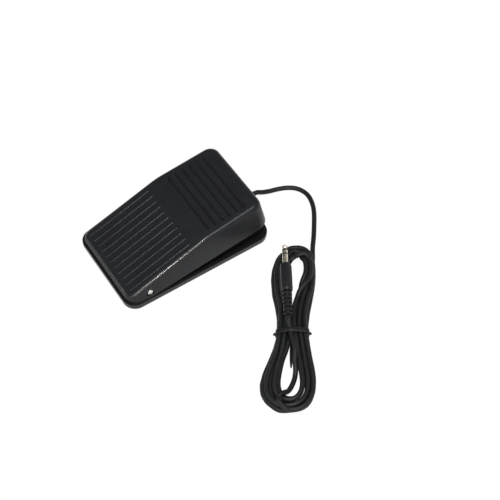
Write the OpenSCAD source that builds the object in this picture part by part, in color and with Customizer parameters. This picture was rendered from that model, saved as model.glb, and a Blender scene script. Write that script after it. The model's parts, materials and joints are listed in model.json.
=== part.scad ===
// Momentary foot switch: a sprung wedge treadle hinged on a low tray, with a micro switch inside,
// a thin cord folded into a tied hank and a moulded 3.5 mm three-pole plug.
// X is across the foot, +Y points to the high end where the cord leaves, Z is up, floor at Z = 0.

/* [Tray] */
// Width of the tray across the foot
base_w = 64; // [60:0.5:72]
// Length of the tray from toe to heel
base_l = 100; // [97:0.5:112]
// Corner radius of the tray seen from above
corner_r = 8.5; // [7:0.25:11]
// How far the rubber feet stand below the bottom cover
foot_proud = 0.6; // [0.4:0.1:1.2]
// Diameter of a rubber foot
foot_d = 10; // [8:0.5:11]
// Depth of the recess that holds a foot
foot_recess = 0.6; // [0.4:0.1:0.8]
// Distance of the feet from the tray's edges
foot_edge = 10.5; // [9:0.25:12]
// Thickness of the bottom cover
cover_t = 1.4; // [1.2:0.1:1.8]
// How far the cover's edge is set in, which shows as a thin shadow line
cover_inset = 0.35; // [0.2:0.05:0.6]
// Height of the tray's rim above the cover's underside
rim_h = 4.1; // [3.8:0.1:5]
// Thickness of the rim
rim_t = 2.4; // [2:0.1:2.6]
// Thickness of the tray's deck
deck_t = 1.3; // [1:0.1:1.5]
// Height of the inner wall above the rim
upstand_h = 4.6; // [3:0.1:5]
// Thickness of the inner wall
upstand_t = 1.6; // [1.2:0.1:2]
// Gap between the inner wall and the closed skirt's foot
skirt_gap = 2; // [1.6:0.1:2.4]
// Distance from the toe edge to where the inner wall starts
upstand_start = 22; // [20.5:0.25:25]

/* [Treadle] */
// Step left bare on the rim round the treadle's foot
ledge = 0.9; // [0.6:0.1:1.4]
// Thickness of the treadle's skirt
skirt_t = 2; // [1.6:0.1:2.2]
// Thickness of the treadle's top
top_t = 2; // [1.6:0.1:2.4]
// Angle between the treadle at rest and the treadle pressed flat
rest_angle = 7.5; // [6.5:0.1:8]
// Angle that stays open when the treadle is pressed fully
stop_angle = 0.4; // [0.3:0.05:0.8]
// Gap under the toe of the treadle at rest
toe_gap = 0.3; // [0.2:0.05:0.5]
// Height of the toe's top edge above the cover's underside, treadle pressed
toe_h = 10.6; // [10:0.1:12]
// Height of the heel platform above the cover's underside, treadle pressed
heel_h = 22.1; // [21:0.1:25]
// Distance from the toe edge of the tray to the bend between ramp and platform
bend_at = 56.3; // [53:0.25:60]
// Radius of that bend
bend_r = 40; // [25:1:50]
// How far each side wall leans in from foot to top
side_lean = 3.2; // [2.4:0.1:3.8]
// How far the toe wall leans in
toe_lean = 1; // [0.6:0.1:1.6]
// How far the heel wall leans in
heel_lean = 0.7; // [0.4:0.1:1.4]
// Corner radius of the ramp seen from above
toe_corner_r = 5; // [4:0.25:6.5]
// Corner radius of the platform seen from above
heel_corner_r = 6.5; // [5:0.25:8]
// Edge rounding along the ramp
ramp_edge_r = 1.6; // [1:0.1:2.2]
// Edge rounding at the heel corners
heel_edge_r = 3.2; // [2:0.1:3.6]
// Width of the notch that clears the strain relief
notch_w = 7; // [6.5:0.1:9]
// Height of that notch above the skirt's foot
notch_h = 3; // [2.8:0.1:4]

/* [Grip pattern] */
// Number of ridges along the ramp
ridge_count = 11; // [5:2:11]
// Distance between ridges
ridge_pitch = 4.72; // [3.6:0.02:4.8]
// Width of a ridge
ridge_w = 1.7; // [1.2:0.1:2.2]
// Height of a ridge
ridge_h = 0.45; // [0.3:0.05:0.7]
// Bare length of ramp below the ridges
ridge_toe_gap = 4.4; // [3.8:0.1:7]
// Bare length of ramp between the ridges and the bend
ridge_bend_gap = 8; // [6:0.1:12]
// Number of grooves across the platform
groove_count = 6; // [3:1:6]
// Distance between grooves
groove_pitch = 4.97; // [3.6:0.01:5.1]
// Width of a groove
groove_w = 1.5; // [1:0.1:2]
// Depth of a groove
groove_d = 0.6; // [0.3:0.05:0.8]
// Half length of a groove
groove_half = 22.6; // [18:0.1:23]
// Distance from the bend to the first groove
groove_start = 6.8; // [6:0.1:9]

/* [Treadle inside] */
// Thickness of the stiffening ribs under the top
rib_t = 1.2; // [0.8:0.1:1.6]
// Depth of the ribs
rib_depth = 2.6; // [1.5:0.1:3]
// Distance of the ribs from the middle
rib_x = 14.5; // [12.5:0.25:16]

/* [Hinge] */
// Diameter of the hinge pin
pin_d = 3.5; // [3:0.1:3.8]
// Distance from the toe edge to the pin
pin_at = 15.5; // [14.5:0.25:16.5]
// Height of the pin above the cover's underside
pin_h = 7.5; // [7.3:0.05:8]
// Radial running clearance of the pin in the tray's lugs
pin_fit = 0.05; // [0.03:0.01:0.08]
// Thickness of a lug
lug_t = 4; // [3:0.25:5]
// Wall of a lug round the pin
lug_wall = 1.4; // [1.2:0.05:1.6]
// Distance from the middle to a lug's outer face
lug_x = 22; // [20:0.25:22.5]
// Side play between a lug and the boss beside it
lug_play = 0.5; // [0.3:0.1:0.8]
// Diameter of the flat sunk round the pin's end
pin_flat_d = 4.8; // [4.4:0.1:5.4]
// Distance from the middle to the pin's end
pin_half = 30.1; // [29.9:0.05:30.4]
// Depth of the flat below the pin's end
pin_show = 0.7; // [0.4:0.1:0.9]

/* [Return spring] */
// Wire diameter of the return spring
spring_wire = 1; // [0.8:0.1:1.2]
// Mean diameter of its coils
spring_d = 11.2; // [10:0.2:12]
// Number of turns
spring_turns = 7; // [5:0.5:8]
// Distance from the high end to the spring
spring_back = 31; // [29:0.25:33]
// Clearance between the spring and the posts that locate it
spring_fit = 0.6; // [0.5:0.05:0.9]
// Height of those posts
post_h = 2.6; // [2:0.1:3]
// Gap between the spring's top and the treadle at rest
spring_gap = 0.15; // [0.1:0.05:0.3]

/* [Micro switch] */
// Length of the micro switch
switch_l = 12.8; // [12:0.1:13.4]
// Width of the micro switch
switch_w = 5.8; // [5.4:0.1:6.4]
// Height of the micro switch
switch_h = 6.5; // [6:0.1:6.7]
// Height of its lower case
case_h = 3.6; // [3:0.1:4]
// Distance from the toe edge to its lever's pivot
pivot_at = 46; // [45.5:0.25:47]
// Distance from the pivot to the far end of the switch body
body_back = 0.9; // [0.8:0.1:1.4]
// Distance along the lever from the pivot to where the treadle presses
lever_reach = 12; // [11.5:0.1:12.5]
// Length of the lever past that point
lever_tip = 1.6; // [1:0.1:2.4]
// Thickness of the lever
lever_t = 0.35; // [0.3:0.05:0.5]
// Width of the lever
lever_w = 3.4; // [2.8:0.1:3.6]
// Distance from the pivot to the plunger
plunger_reach = 4.6; // [4.2:0.1:5.2]
// Diameter of the plunger
plunger_d = 1.7; // [1.4:0.1:2]
// Radial clearance of the plunger in the switch cover
plunger_fit = 0.06; // [0.04:0.01:0.09]
// Diameter of the lever's axle
axle_d = 0.9; // [0.8:0.05:1]
// Radial clearance of the lever on its axle
axle_fit = 0.05; // [0.03:0.01:0.08]
// Wall of the lever's rolled eye
eye_wall = 0.4; // [0.35:0.05:0.45]
// Diameter of the treadle's pusher
pusher_d = 3; // [2.4:0.1:3.4]
// Gap between pusher and lever, and between lever and plunger, at rest
touch_gap = 0.12; // [0.08:0.01:0.3]
// Thickness of the circuit board
board_t = 1.2; // [1:0.1:1.6]
// Width of the circuit board
board_w = 18; // [17:0.5:20]
// Height of the posts under the board
board_post_h = 1.6; // [1.3:0.1:1.8]
// Diameter of a terminal pin
terminal_d = 0.8; // [0.6:0.05:1]
// Distance between terminal pins
terminal_pitch = 4.6; // [4.2:0.05:4.8]

/* [Screws] */
// Shank diameter of the cover screws
cover_screw_d = 2.6; // [2.2:0.1:3]
// Head diameter of the cover screws
cover_head_d = 5; // [4.4:0.1:5.4]
// Distance from the middle to the cover screws
cover_screw_x = 20.5; // [19:0.25:21]
// Distance from the toe edge to the front pair of cover screws
cover_screw_front = 29; // [28:0.25:30]
// Distance from the high end to the rear pair of cover screws
cover_screw_back = 21; // [20:0.25:22]
// Diameter of the bosses that take the cover screws
boss_d = 5.6; // [5:0.1:6.2]
// Height of those bosses above the deck
boss_h = 4; // [3.6:0.1:5]
// Shank diameter of the small screws
small_screw_d = 1.8; // [1.6:0.1:2]
// Head diameter of the small screws
small_head_d = 3.4; // [3:0.1:3.6]
// Head height of the small screws
small_head_h = 1.1; // [0.9:0.1:1.3]

/* [Cord] */
// Diameter of the cord
cord_d = 3; // [2.8:0.05:3.05]
// Height of the cord where it passes the rim, above the cover's underside
cord_exit_h = 4.3; // [4.2:0.1:4.6]
// Diameter of the strain relief's neck in the rim
relief_neck_d = 4; // [3.8:0.1:4.4]
// Diameter of the strain relief's flanges
flange_d = 5.4; // [5:0.1:5.6]
// Thickness of a flange
flange_t = 1.1; // [0.8:0.1:1.3]
// Length of the tapered sleeve behind the tray
sleeve_l = 6; // [5:0.25:7]
// Length of jacket inside past the clamp
jacket_past = 3.5; // [2.5:0.25:4]
// Diameter of an inner lead
lead_d = 0.9; // [0.8:0.05:0.95]
// Distance from the high end to the cord clamp
clamp_back = 13; // [12.5:0.25:13.5]
// Width of the clamp
clamp_w = 14; // [13:0.25:15]
// Length of the clamp along the cord
clamp_l = 5; // [4:0.25:5.5]
// Wall of the clamp over the cord
clamp_wall = 1.3; // [1:0.1:1.6]

/* [Hank] */
// Number of runs of cord through the tie
hank_runs = 11; // [11:4:11]
// Length of the toe half of a run, towards the plug's tip
upper_run = 39; // [36:0.5:42]
// Length of the other half of a run
lower_run = 33; // [32:0.5:36]
// Reach of the outermost upper bend past its run
upper_bend = 22; // [20:0.5:24]
// Reach of the outermost lower bend past its run
lower_bend = 14.4; // [13.6:0.2:16]
// Half width of the outermost loop at the tie
waist_half = 8.7; // [8.7:0.1:9.5]
// Step between loops at the tie
waist_step = 3.45; // [3.4:0.05:3.6]
// Step between layers
layer_step = 3.5; // [3.5:0.05:3.8]
// Step between the upper bends along the hank
upper_bend_step = 5.6; // [5.2:0.1:5.8]
// Step between the lower bends along the hank
lower_bend_step = 4.4; // [4.2:0.1:4.6]
// Thickness of the tie's strip
tie_t = 0.7; // [0.5:0.1:0.9]
// Width of the tie's strip
tie_w = 1.8; // [1.4:0.1:3]
// Length of the tie's loose end
tie_end = 20; // [14:0.5:24]
// Clearance between tie and cord
tie_fit = 0.25; // [0.15:0.05:0.4]

/* [Plug] */
// Diameter of the jack
jack_d = 3.5; // [3.4:0.05:3.6]
// Length of the jack's bare metal
jack_l = 14; // [13.5:0.1:15]
// Diameter of the plug's grip
grip_d = 7; // [6.4:0.1:7.4]
// Length of the plug's grip
grip_l = 19.4; // [17:0.2:21]
// Length of the ribbed strain relief
ribs_l = 16.4; // [14:0.2:18]
// Number of ribs on it
rib_count = 6; // [4:1:6]
// Turn of the plug from the hank's long axis
plug_turn = 4.4; // [3:0.1:5]

/* [Hidden] */
$fn = 48;
eps = 0.01;

// Levels above the floor
z_cover = foot_proud;
z_tray = z_cover + cover_t;
z_deck = z_tray + deck_t;
z_ledge = z_cover + rim_h;
z_pin = z_cover + pin_h;
z_board = z_deck + board_post_h;
z_board_top = z_board + board_t;
z_switch_top = z_board_top + switch_h;
z_cord = z_cover + cord_exit_h;

// Places along the tray, measured from the end that they belong to and turned into Y
function y_of(from_toe) = from_toe - base_l / 2;
pin_y = y_of(pin_at);
spring_y = base_l / 2 - spring_back;
pivot_y = y_of(pivot_at);
clamp_y = base_l / 2 - clamp_back;
travel = rest_angle - stop_angle;

// ---------------------------------------------------------------- treadle form, pressed flat

foot_half = base_w / 2 - ledge;
foot_y0 = -base_l / 2 + ledge;
foot_y1 = base_l / 2 - ledge;
z_skirt = z_ledge + toe_gap;
z_heel = z_cover + heel_h;
z_toe = z_cover + toe_h;
toe_y = foot_y0 + toe_lean;
bend_y = y_of(bend_at);
ramp = atan((z_heel - z_toe) / (bend_y - toe_y));
bend_reach = bend_r * tan(ramp / 2);
bend_y0 = bend_y - bend_reach * cos(ramp);
bend_y1 = bend_y + bend_reach;

// Height of the treadle's top surface: a ramp, a bend and a level platform
function top_z(y) =
    y < bend_y0 ? z_toe + (y - toe_y) * tan(ramp)
    : y > bend_y1 ? z_heel
    : z_heel - bend_r + sqrt(bend_r ^ 2 - (bend_y1 - y) ^ 2);

// Edge rounding grows from the bend to the heel
function edge_at(y) =
    ramp_edge_r + (heel_edge_r - ramp_edge_r) * max(0, (y - bend_y) / (foot_y1 - bend_y));

corner_steps = 8;
ramp_steps = 4;
bend_steps = 4;
platform_steps = 3;
edge_steps = 5;

// Stations along a straight side, dense over the bend
function side_stations(y0, y1) = concat(
    [for (i = [1 : ramp_steps - 1]) y0 + (bend_y0 - y0) * i / ramp_steps],
    [for (i = [0 : bend_steps]) bend_y0 + (bend_y1 - bend_y0) * i / bend_steps],
    [for (i = [1 : platform_steps - 1]) bend_y1 + (y1 - bend_y1) * i / platform_steps]);

// The right half of a rounded rectangle: [x, y, inward x, inward y] from toe to heel
function half_outline(half, y0, y1, r0, r1, ys) = concat(
    [for (i = [0 : corner_steps]) let (a = -90 + 90 * i / corner_steps)
        [half - r0 + r0 * cos(a), y0 + r0 + r0 * sin(a), -cos(a), -sin(a)]],
    [for (y = ys) [half, y, -1, 0]],
    [for (i = [0 : corner_steps]) let (a = 90 * i / corner_steps)
        [half - r1 + r1 * cos(a), y1 - r1 + r1 * sin(a), -cos(a), -sin(a)]]);

function mirrored(list) = [for (i = [len(list) - 1 : -1 : 0])
    [-list[i][0], list[i][1], -list[i][2], list[i][3]]];

// Points of one wall line: foot, then round over the top edge
function wall_line(b, t, z0, drop, edge) =
    let (foot = [b[0], b[1], z0],
         apex = [t[0], t[1], top_z(t[1]) - drop],
         f = edge,
         w = apex + (foot - apex) / norm(foot - apex) * f,
         iy = t[1] + t[3] * f,
         n = [t[0] + t[2] * f, iy, top_z(iy) - drop],
         k = cos(45))
    concat([foot], [for (i = [0 : edge_steps]) let (s = i / edge_steps)
        (w * (1 - s) ^ 2 + apex * 2 * k * s * (1 - s) + n * s ^ 2)
        / ((1 - s) ^ 2 + 2 * k * s * (1 - s) + s ^ 2)]);

// Closed cap whose foot is at z0 and whose walls are set in by inset and top lowered by drop
module cap_form(inset, drop, z0, rounded) {
    t_y0 = toe_y + inset;
    t_y1 = foot_y1 - heel_lean - inset;
    b_y0 = foot_y0 + inset;
    b_y1 = foot_y1 - inset;
    rt0 = toe_corner_r - inset;
    rt1 = heel_corner_r - inset;
    rb = corner_r - ledge - inset;
    ys = side_stations(t_y0 + rt0, t_y1 - rt1);
    yb = [for (y = ys) b_y0 + rb + (y - t_y0 - rt0) / (t_y1 - rt1 - t_y0 - rt0)
        * (b_y1 - b_y0 - 2 * rb)];
    top_half = half_outline(foot_half - side_lean - inset, t_y0, t_y1, rt0, rt1, ys);
    foot_half_line = half_outline(foot_half - inset, b_y0, b_y1, rb, rb, yb);
    tops = concat(top_half, mirrored(top_half));
    feet = concat(foot_half_line, mirrored(foot_half_line));
    n = len(tops);
    rings = edge_steps + 2;
    lines = [for (i = [0 : n - 1])
        wall_line(feet[i], tops[i], z0, drop, rounded ? edge_at(tops[i][1]) : ramp_edge_r / 2)];
    points = [for (k = [0 : rings - 1]) for (i = [0 : n - 1]) lines[i][k]];
    walls = [for (k = [0 : rings - 2]) for (i = [0 : n - 1]) let (j = (i + 1) % n)
        each [[k * n + i, (k + 1) * n + i, (k + 1) * n + j], [k * n + i, (k + 1) * n + j, k * n + j]]];
    last = (rings - 1) * n;
    roof = [for (i = [0 : n / 2 - 2]) let (r0 = last + i, r1 = r0 + 1, l0 = last + n - 1 - i, l1 = l0 - 1)
        each [[l0, l1, r1], [l0, r1, r0]]];
    polyhedron(points, concat([[for (i = [0 : n - 1]) i]], walls, roof));
}

// Everything drawn for the pressed treadle is turned up to its rest position about the pin
module at_rest() {
    translate([0, pin_y, z_pin]) rotate([rest_angle, 0, 0]) translate([0, -pin_y, -z_pin]) children();
}

module across(d, half) {
    translate([-half, 0, 0]) rotate([0, 90, 0]) cylinder(d = d, h = 2 * half);
}

// A round-ended bar along Y, from the origin
module round_bar(r, l) {
    rotate([-90, 0, 0]) cylinder(r = r, h = l);
    sphere(r);
    translate([0, l, 0]) sphere(r);
}

ridge_r = (ridge_w ^ 2 / 4 + ridge_h ^ 2) / (2 * ridge_h);
ridge_l = (bend_y - toe_y) / cos(ramp) - ridge_toe_gap - ridge_bend_gap;

module ramp_ridges() {
    for (i = [0 : ridge_count - 1])
        translate([(i - (ridge_count - 1) / 2) * ridge_pitch, toe_y, z_toe])
            rotate([ramp, 0, 0]) translate([0, ridge_toe_gap, ridge_h - ridge_r])
                round_bar(ridge_r, ridge_l);
}

groove_r = (groove_w ^ 2 / 4 + groove_d ^ 2) / (2 * groove_d);

module platform_grooves() {
    for (i = [0 : groove_count - 1])
        translate([-groove_half, bend_y + groove_start + i * groove_pitch, z_heel + groove_r - groove_d])
            rotate([0, 0, -90]) round_bar(groove_r, 2 * groove_half);
}

// Stiffening ribs under the top follow its underside
rib_start = pin_y + pin_d + lug_wall + 4;
rib_end = foot_y1 - skirt_t - 6;

module top_ribs() {
    under = [for (y = [rib_start, bend_y0, bend_y1, rib_end]) [y, top_z(y) - top_t + 0.4]];
    lower = [for (i = [3 : -1 : 0]) under[i] - [0, rib_depth + 0.4]];
    for (side = [-1, 1])
        translate([side * rib_x - rib_t / 2, 0, 0]) rotate([90, 0, 90])
            linear_extrude(rib_t) polygon(concat(under, lower));
}

// Where the treadle presses the lever, and where the lever stands at rest
pusher_y = pivot_y - lever_reach;
lever_ratio = (pusher_y - pin_y) / lever_reach;
lever_angle = travel * lever_ratio;
z_pivot = z_switch_top + axle_d / 2 + axle_fit + eye_wall + 0.1;
pusher_z = z_pivot + lever_reach * tan(lever_angle)
    + (pusher_d / 2 + lever_t / 2 + touch_gap) / cos(lever_angle);

// Underside of the treadle at rest above a place y
function under_at_rest(y) =
    let (guess = top_z(y) - top_t - z_pin,
         dy = (y - pin_y + guess * sin(rest_angle)) / cos(rest_angle),
         z = top_z(pin_y + dy) - top_t)
    z_pin + dy * sin(rest_angle) + (z - z_pin) * cos(rest_angle);

boss_inner = lug_x + lug_play;
post_d = spring_d - spring_wire - 2 * spring_fit;
// The treadle's post sways along Y as the treadle swings, so it is thinner and set half the sway back
post_sway = (z_heel - top_t - z_pin) * sin(rest_angle) + (spring_y - pin_y) * (1 - cos(rest_angle));
top_post_d = spring_d - spring_wire - post_sway - 0.6;

module treadle() {
    color("#28292b") difference() {
        union() {
            at_rest() difference() {
                union() {
                    difference() {
                        cap_form(0, 0, z_skirt, true);
                        cap_form(skirt_t, top_t, z_skirt - 1, false);
                    }
                    ramp_ridges();
                    top_ribs();
                    translate([0, spring_y + post_sway / 2, z_heel - top_t - post_h])
                        cylinder(d = top_post_d, h = post_h + 0.5);
                }
                platform_grooves();
                translate([-notch_w / 2, foot_y1 - skirt_t - 2, z_skirt - 2])
                    cube([notch_w, skirt_t + 4, notch_h + 2]);
            }
            for (side = [-1, 1])
                translate([side > 0 ? boss_inner : -foot_half + skirt_t + 0.5, pin_y, z_pin])
                    rotate([0, 90, 0])
                        cylinder(d = 2 * (pin_d / 2 + lug_wall), h = foot_half - skirt_t - 0.5 - boss_inner);
            translate([0, pusher_y, pusher_z]) {
                sphere(d = pusher_d);
                cylinder(d = pusher_d, h = under_at_rest(pusher_y) - pusher_z + 0.6);
            }
        }
        translate([0, pin_y, z_pin]) across(pin_d, base_w);
        for (side = [-1, 1])
            translate([side > 0 ? pin_half - pin_show : -base_w / 2 - 1, pin_y, z_pin]) rotate([0, 90, 0])
                cylinder(d = pin_flat_d, h = base_w / 2 + 1 - pin_half + pin_show);
        translate([-base_w, -base_l, -eps]) cube([2 * base_w, 2 * base_l, z_skirt + eps]);
    }
}

pin_chamfer = 0.2;

module hinge_pin() {
    color("#d9d6cc") translate([-pin_half, pin_y, z_pin]) rotate([0, 90, 0]) rotate_extrude() polygon([
        [0, 0], [pin_d / 2 - pin_chamfer, 0], [pin_d / 2, pin_chamfer],
        [pin_d / 2, 2 * pin_half - pin_chamfer], [pin_d / 2 - pin_chamfer, 2 * pin_half], [0, 2 * pin_half]]);
}

// ---------------------------------------------------------------- tray

module rounded_plate(w, l, r, h) {
    linear_extrude(h) {
        square([w, l - 2 * r], center = true);
        square([w - 2 * r, l], center = true);
        for (sx = [-1, 1], sy = [-1, 1]) translate([sx * (w / 2 - r), sy * (l / 2 - r)]) circle(r);
    }
}

upstand_in = ledge + skirt_t + skirt_gap;
board_at = 50.2;
foot_spots = [for (sx = [-1, 1], sy = [-1, 1])
    [sx * (base_w / 2 - foot_edge), sy * (base_l / 2 - foot_edge)]];
cover_screw_spots = [for (sx = [-1, 1], y = [y_of(cover_screw_front), base_l / 2 - cover_screw_back])
    [sx * cover_screw_x, y]];
board_screw_spots = [for (side = [-1, 1]) [side * (board_w / 2 - 2.4), y_of(board_at)]];
clamp_screw_spots = [for (side = [-1, 1]) [side * (clamp_w / 2 - 2.4), clamp_y]];
cover_head_h = 1;
small_post_d = small_screw_d + 2.2;

module lug(inner_x) {
    lug_r = pin_d / 2 + lug_wall;
    translate([inner_x, pin_y, 0]) {
        translate([0, -lug_r, z_tray + eps]) cube([lug_t, 2 * lug_r, z_pin - z_tray]);
        translate([0, 0, z_pin]) rotate([0, 90, 0]) cylinder(r = lug_r, h = lug_t);
    }
}

module base_tray() {
    color("#232425") difference() {
        union() {
            difference() {
                translate([0, 0, z_tray]) rounded_plate(base_w, base_l, corner_r, z_ledge - z_tray);
                translate([0, 0, z_deck])
                    rounded_plate(base_w - 2 * rim_t, base_l - 2 * rim_t, corner_r - rim_t, rim_h);
            }
            translate([0, 0, z_deck - eps]) difference() {
                rounded_plate(base_w - 2 * upstand_in, base_l - 2 * upstand_in, corner_r - upstand_in,
                              z_ledge + upstand_h - z_deck);
                translate([0, 0, -1]) rounded_plate(
                    base_w - 2 * upstand_in - 2 * upstand_t, base_l - 2 * upstand_in - 2 * upstand_t,
                    corner_r - upstand_in - upstand_t, upstand_h + rim_h + 2);
                translate([-base_w / 2, -base_l / 2, -1])
                    cube([base_w, upstand_start, upstand_h + rim_h + 2]);
            }
            for (side = [-1, 1]) lug(side > 0 ? lug_x - lug_t : -lug_x);
            for (p = cover_screw_spots) translate([p[0], p[1], z_tray + eps])
                cylinder(d = boss_d, h = deck_t + boss_h - eps);
            for (p = concat(board_screw_spots)) translate([p[0], p[1], z_tray + eps])
                cylinder(d = small_post_d, h = z_board - z_tray - eps);
            for (p = clamp_screw_spots) translate([p[0], p[1], z_tray + eps])
                cylinder(d = small_post_d, h = z_cord - z_tray - eps);
            translate([0, spring_y, z_deck - eps]) cylinder(d = post_d, h = post_h);
            translate([0, base_l / 2 - rim_t, z_ledge - 0.5]) relief_saddle();
        }
        translate([0, pin_y, z_pin]) across(pin_d + 2 * pin_fit, lug_x + 0.4);
        for (p = cover_screw_spots) translate([p[0], p[1], z_tray - 1])
            cylinder(d = cover_screw_d, h = deck_t + boss_h);
        for (p = board_screw_spots) translate([p[0], p[1], z_tray + 0.5])
            cylinder(d = small_screw_d, h = z_board - z_tray);
        for (p = clamp_screw_spots) translate([p[0], p[1], z_tray + 0.5])
            cylinder(d = small_screw_d, h = z_cord - z_tray);
        relief_slot();
        cord_channel();
    }
}

saddle_w = relief_neck_d + 3;

// The rim rises beside the strain relief so that its neck is held
module relief_saddle() {
    translate([-saddle_w / 2, 0, 0]) cube([saddle_w, rim_t, z_cord - z_ledge + 0.5]);
}

module relief_slot() {
    translate([0, base_l / 2 + 1, z_cord]) rotate([90, 0, 0]) cylinder(d = relief_neck_d, h = rim_t + 2);
    translate([-relief_neck_d / 2, base_l / 2 - rim_t - 1, z_cord]) cube([relief_neck_d, rim_t + 2, rim_h]);
}

// Clears the cord through the heel end of the inner wall and over the deck
module cord_channel() {
    channel_r = cord_d / 2 + 0.2;
    start = jacket_y - 1;
    translate([0, base_l / 2 - rim_t - eps, z_cord]) rotate([90, 0, 0])
        cylinder(r = channel_r, h = base_l / 2 - rim_t - start);
    translate([-channel_r, base_l / 2 - upstand_in - upstand_t - 1, z_cord])
        cube([2 * channel_r, upstand_t + 2, upstand_h + rim_h]);
    translate([-flange_d / 2 - 0.1, base_l / 2 - rim_t - flange_t - 0.1, z_tray - 1])
        cube([flange_d + 0.2, flange_t + 0.1, rim_h + 2]);
}

module bottom_cover() {
    color("#1f2021") difference() {
        translate([0, 0, z_cover]) rounded_plate(base_w - 2 * cover_inset, base_l - 2 * cover_inset,
                                                 corner_r - cover_inset, cover_t);
        for (p = foot_spots) translate([p[0], p[1], z_cover - eps])
            cylinder(d = foot_d, h = foot_recess + eps);
        for (p = cover_screw_spots) translate([p[0], p[1], 0]) {
            cylinder(d = cover_screw_d, h = z_tray + 1);
            translate([0, 0, z_cover - 1]) cylinder(d = cover_head_d, h = 1 + eps);
            translate([0, 0, z_cover])
                cylinder(d1 = cover_head_d, d2 = cover_screw_d, h = cover_head_h);
        }
    }
}

module foot_pads() {
    color("#3a3b3c") for (p = foot_spots) translate([p[0], p[1], 0]) rotate_extrude() polygon([
        [0, 0], [foot_d / 2 - 0.5, 0], [foot_d / 2, 0.4], [foot_d / 2, foot_proud + foot_recess],
        [0, foot_proud + foot_recess]]);
}

module cover_screws() {
    shank = deck_t + boss_h - 1.2;
    slot_l = cover_head_d * 0.52;
    color("silver") for (p = cover_screw_spots) translate([p[0], p[1], z_cover]) difference() {
        union() {
            cylinder(d1 = cover_head_d, d2 = cover_screw_d, h = cover_head_h);
            cylinder(d = cover_screw_d, h = cover_t + shank);
        }
        for (a = [0, 90]) rotate([0, 0, a]) translate([-slot_l / 2, -slot_l / 10, -eps])
            cube([slot_l, slot_l / 5, cover_head_h * 0.6]);
    }
}

// ---------------------------------------------------------------- round tubes along a path

function unit(v) = v / norm(v);
function tangent(path, i) = unit(path[min(i + 1, len(path) - 1)] - path[max(i - 1, 0)]);
function ring_of(c, t, r, sides) =
    let (side = unit(cross([0, 0, 1], t)), up = cross(t, side))
    [for (j = [0 : sides - 1]) c + r * (cos(360 * j / sides) * side + sin(360 * j / sides) * up)];
function path_length(p) = len(p) < 2 ? 0 : sum_of([for (i = [1 : len(p) - 1]) norm(p[i] - p[i - 1])]);
function sum_of(v) = v * [for (i = v) 1];

module tube(path, d, sides) {
    n = len(path);
    points = [for (i = [0 : n - 1]) each ring_of(path[i], tangent(path, i), d / 2, sides)];
    skin = [for (i = [0 : n - 2]) for (j = [0 : sides - 1])
        let (a = i * sides + j, b = i * sides + (j + 1) % sides)
        each [[a, a + sides, b + sides], [a, b + sides, b]]];
    caps = [[for (j = [0 : sides - 1]) j], [for (j = [sides - 1 : -1 : 0]) (n - 1) * sides + j]];
    polyhedron(points, concat(skin, caps));
}

// A smooth curve through hand-set points, with steps rings to each stretch
function curve_at(a, b, c, d, s) =
    0.5 * (2 * b + (c - a) * s + (2 * a - 5 * b + 4 * c - d) * s ^ 2 + (3 * b - a - 3 * c + d) * s ^ 3);
function smooth(p, steps) =
    let (n = len(p))
    concat([for (i = [0 : n - 2]) for (k = [0 : steps - 1])
        curve_at(p[max(i - 1, 0)], p[i], p[i + 1], p[min(i + 2, n - 1)], k / steps)], [p[n - 1]]);

// ---------------------------------------------------------------- return spring

spring_steps = 8;
spring_z0 = z_deck + spring_wire / 2;
heel_tilt_drop = (spring_d / 2 + spring_wire / 2) * sin(rest_angle);
spring_z1 = under_at_rest(spring_y) - heel_tilt_drop - spring_wire / 2 - spring_gap;
spring_path = [for (i = [0 : spring_turns * spring_steps]) let (a = 360 * i / spring_steps)
    [spring_d / 2 * cos(a), spring_y + spring_d / 2 * sin(a),
     spring_z0 + (spring_z1 - spring_z0) * i / (spring_turns * spring_steps)]];

module return_spring() {
    color("#c9ccd0") tube(spring_path, spring_wire, 6);
}

// ---------------------------------------------------------------- micro switch on its board

board_y0 = pivot_y + body_back - switch_l - 1.6;
board_y1 = y_of(board_at) + 3.2;
switch_y1 = pivot_y + body_back;
switch_y0 = switch_y1 - switch_l;
switch_mid = (switch_y0 + switch_y1) / 2;
terminal_spots = [for (i = [-1 : 1]) [0, switch_mid + i * terminal_pitch]];
pad_spots = [for (i = [-1 : 1]) [i * 2.4, y_of(board_at) + 1.2]];
terminal_reach = 1.6;

module circuit_board() {
    color("#3f6b3a") difference() {
        translate([-board_w / 2, board_y0, z_board]) cube([board_w, board_y1 - board_y0, board_t]);
        for (p = terminal_spots) translate([p[0], p[1], z_board - 1])
            cylinder(d = terminal_d + 0.2, h = board_t + 2);
        for (p = board_screw_spots) translate([p[0], p[1], z_board - 1])
            cylinder(d = small_screw_d + 0.2, h = board_t + 2);
    }
}

module small_screw(seat, reach) {
    translate([0, 0, seat]) difference() {
        rotate_extrude() polygon([
            [0, -reach], [small_screw_d / 2, -reach], [small_screw_d / 2, 0], [small_head_d / 2, 0],
            [small_head_d / 2, small_head_h * 0.6], [small_head_d / 2 - 0.5, small_head_h],
            [0, small_head_h]]);
        for (a = [0, 90]) rotate([0, 0, a]) translate([-0.9, -0.2, small_head_h - 0.5]) cube([1.8, 0.4, 1]);
    }
}

module board_screws() {
    color("silver") for (p = board_screw_spots) translate([p[0], p[1], 0])
        small_screw(z_board_top, board_t + board_post_h - 0.4);
}

module switch_block(z0, h) {
    translate([-switch_w / 2, switch_y0, z0]) cube([switch_w, switch_l, h]);
}

module switch_case() {
    color("#1b1b1d") difference() {
        switch_block(z_board_top, case_h);
        for (p = terminal_spots) translate([p[0], p[1], z_board_top - 1])
            cylinder(d = terminal_d, h = case_h - 0.6);
        for (i = [-1, 1]) translate([0, switch_mid + i * 3.25, z_board_top + 1.6]) across(1.6, switch_w);
    }
}

cheek_t = 0.8;
axle_half = lever_w / 2 + 0.2 + cheek_t;

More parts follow.
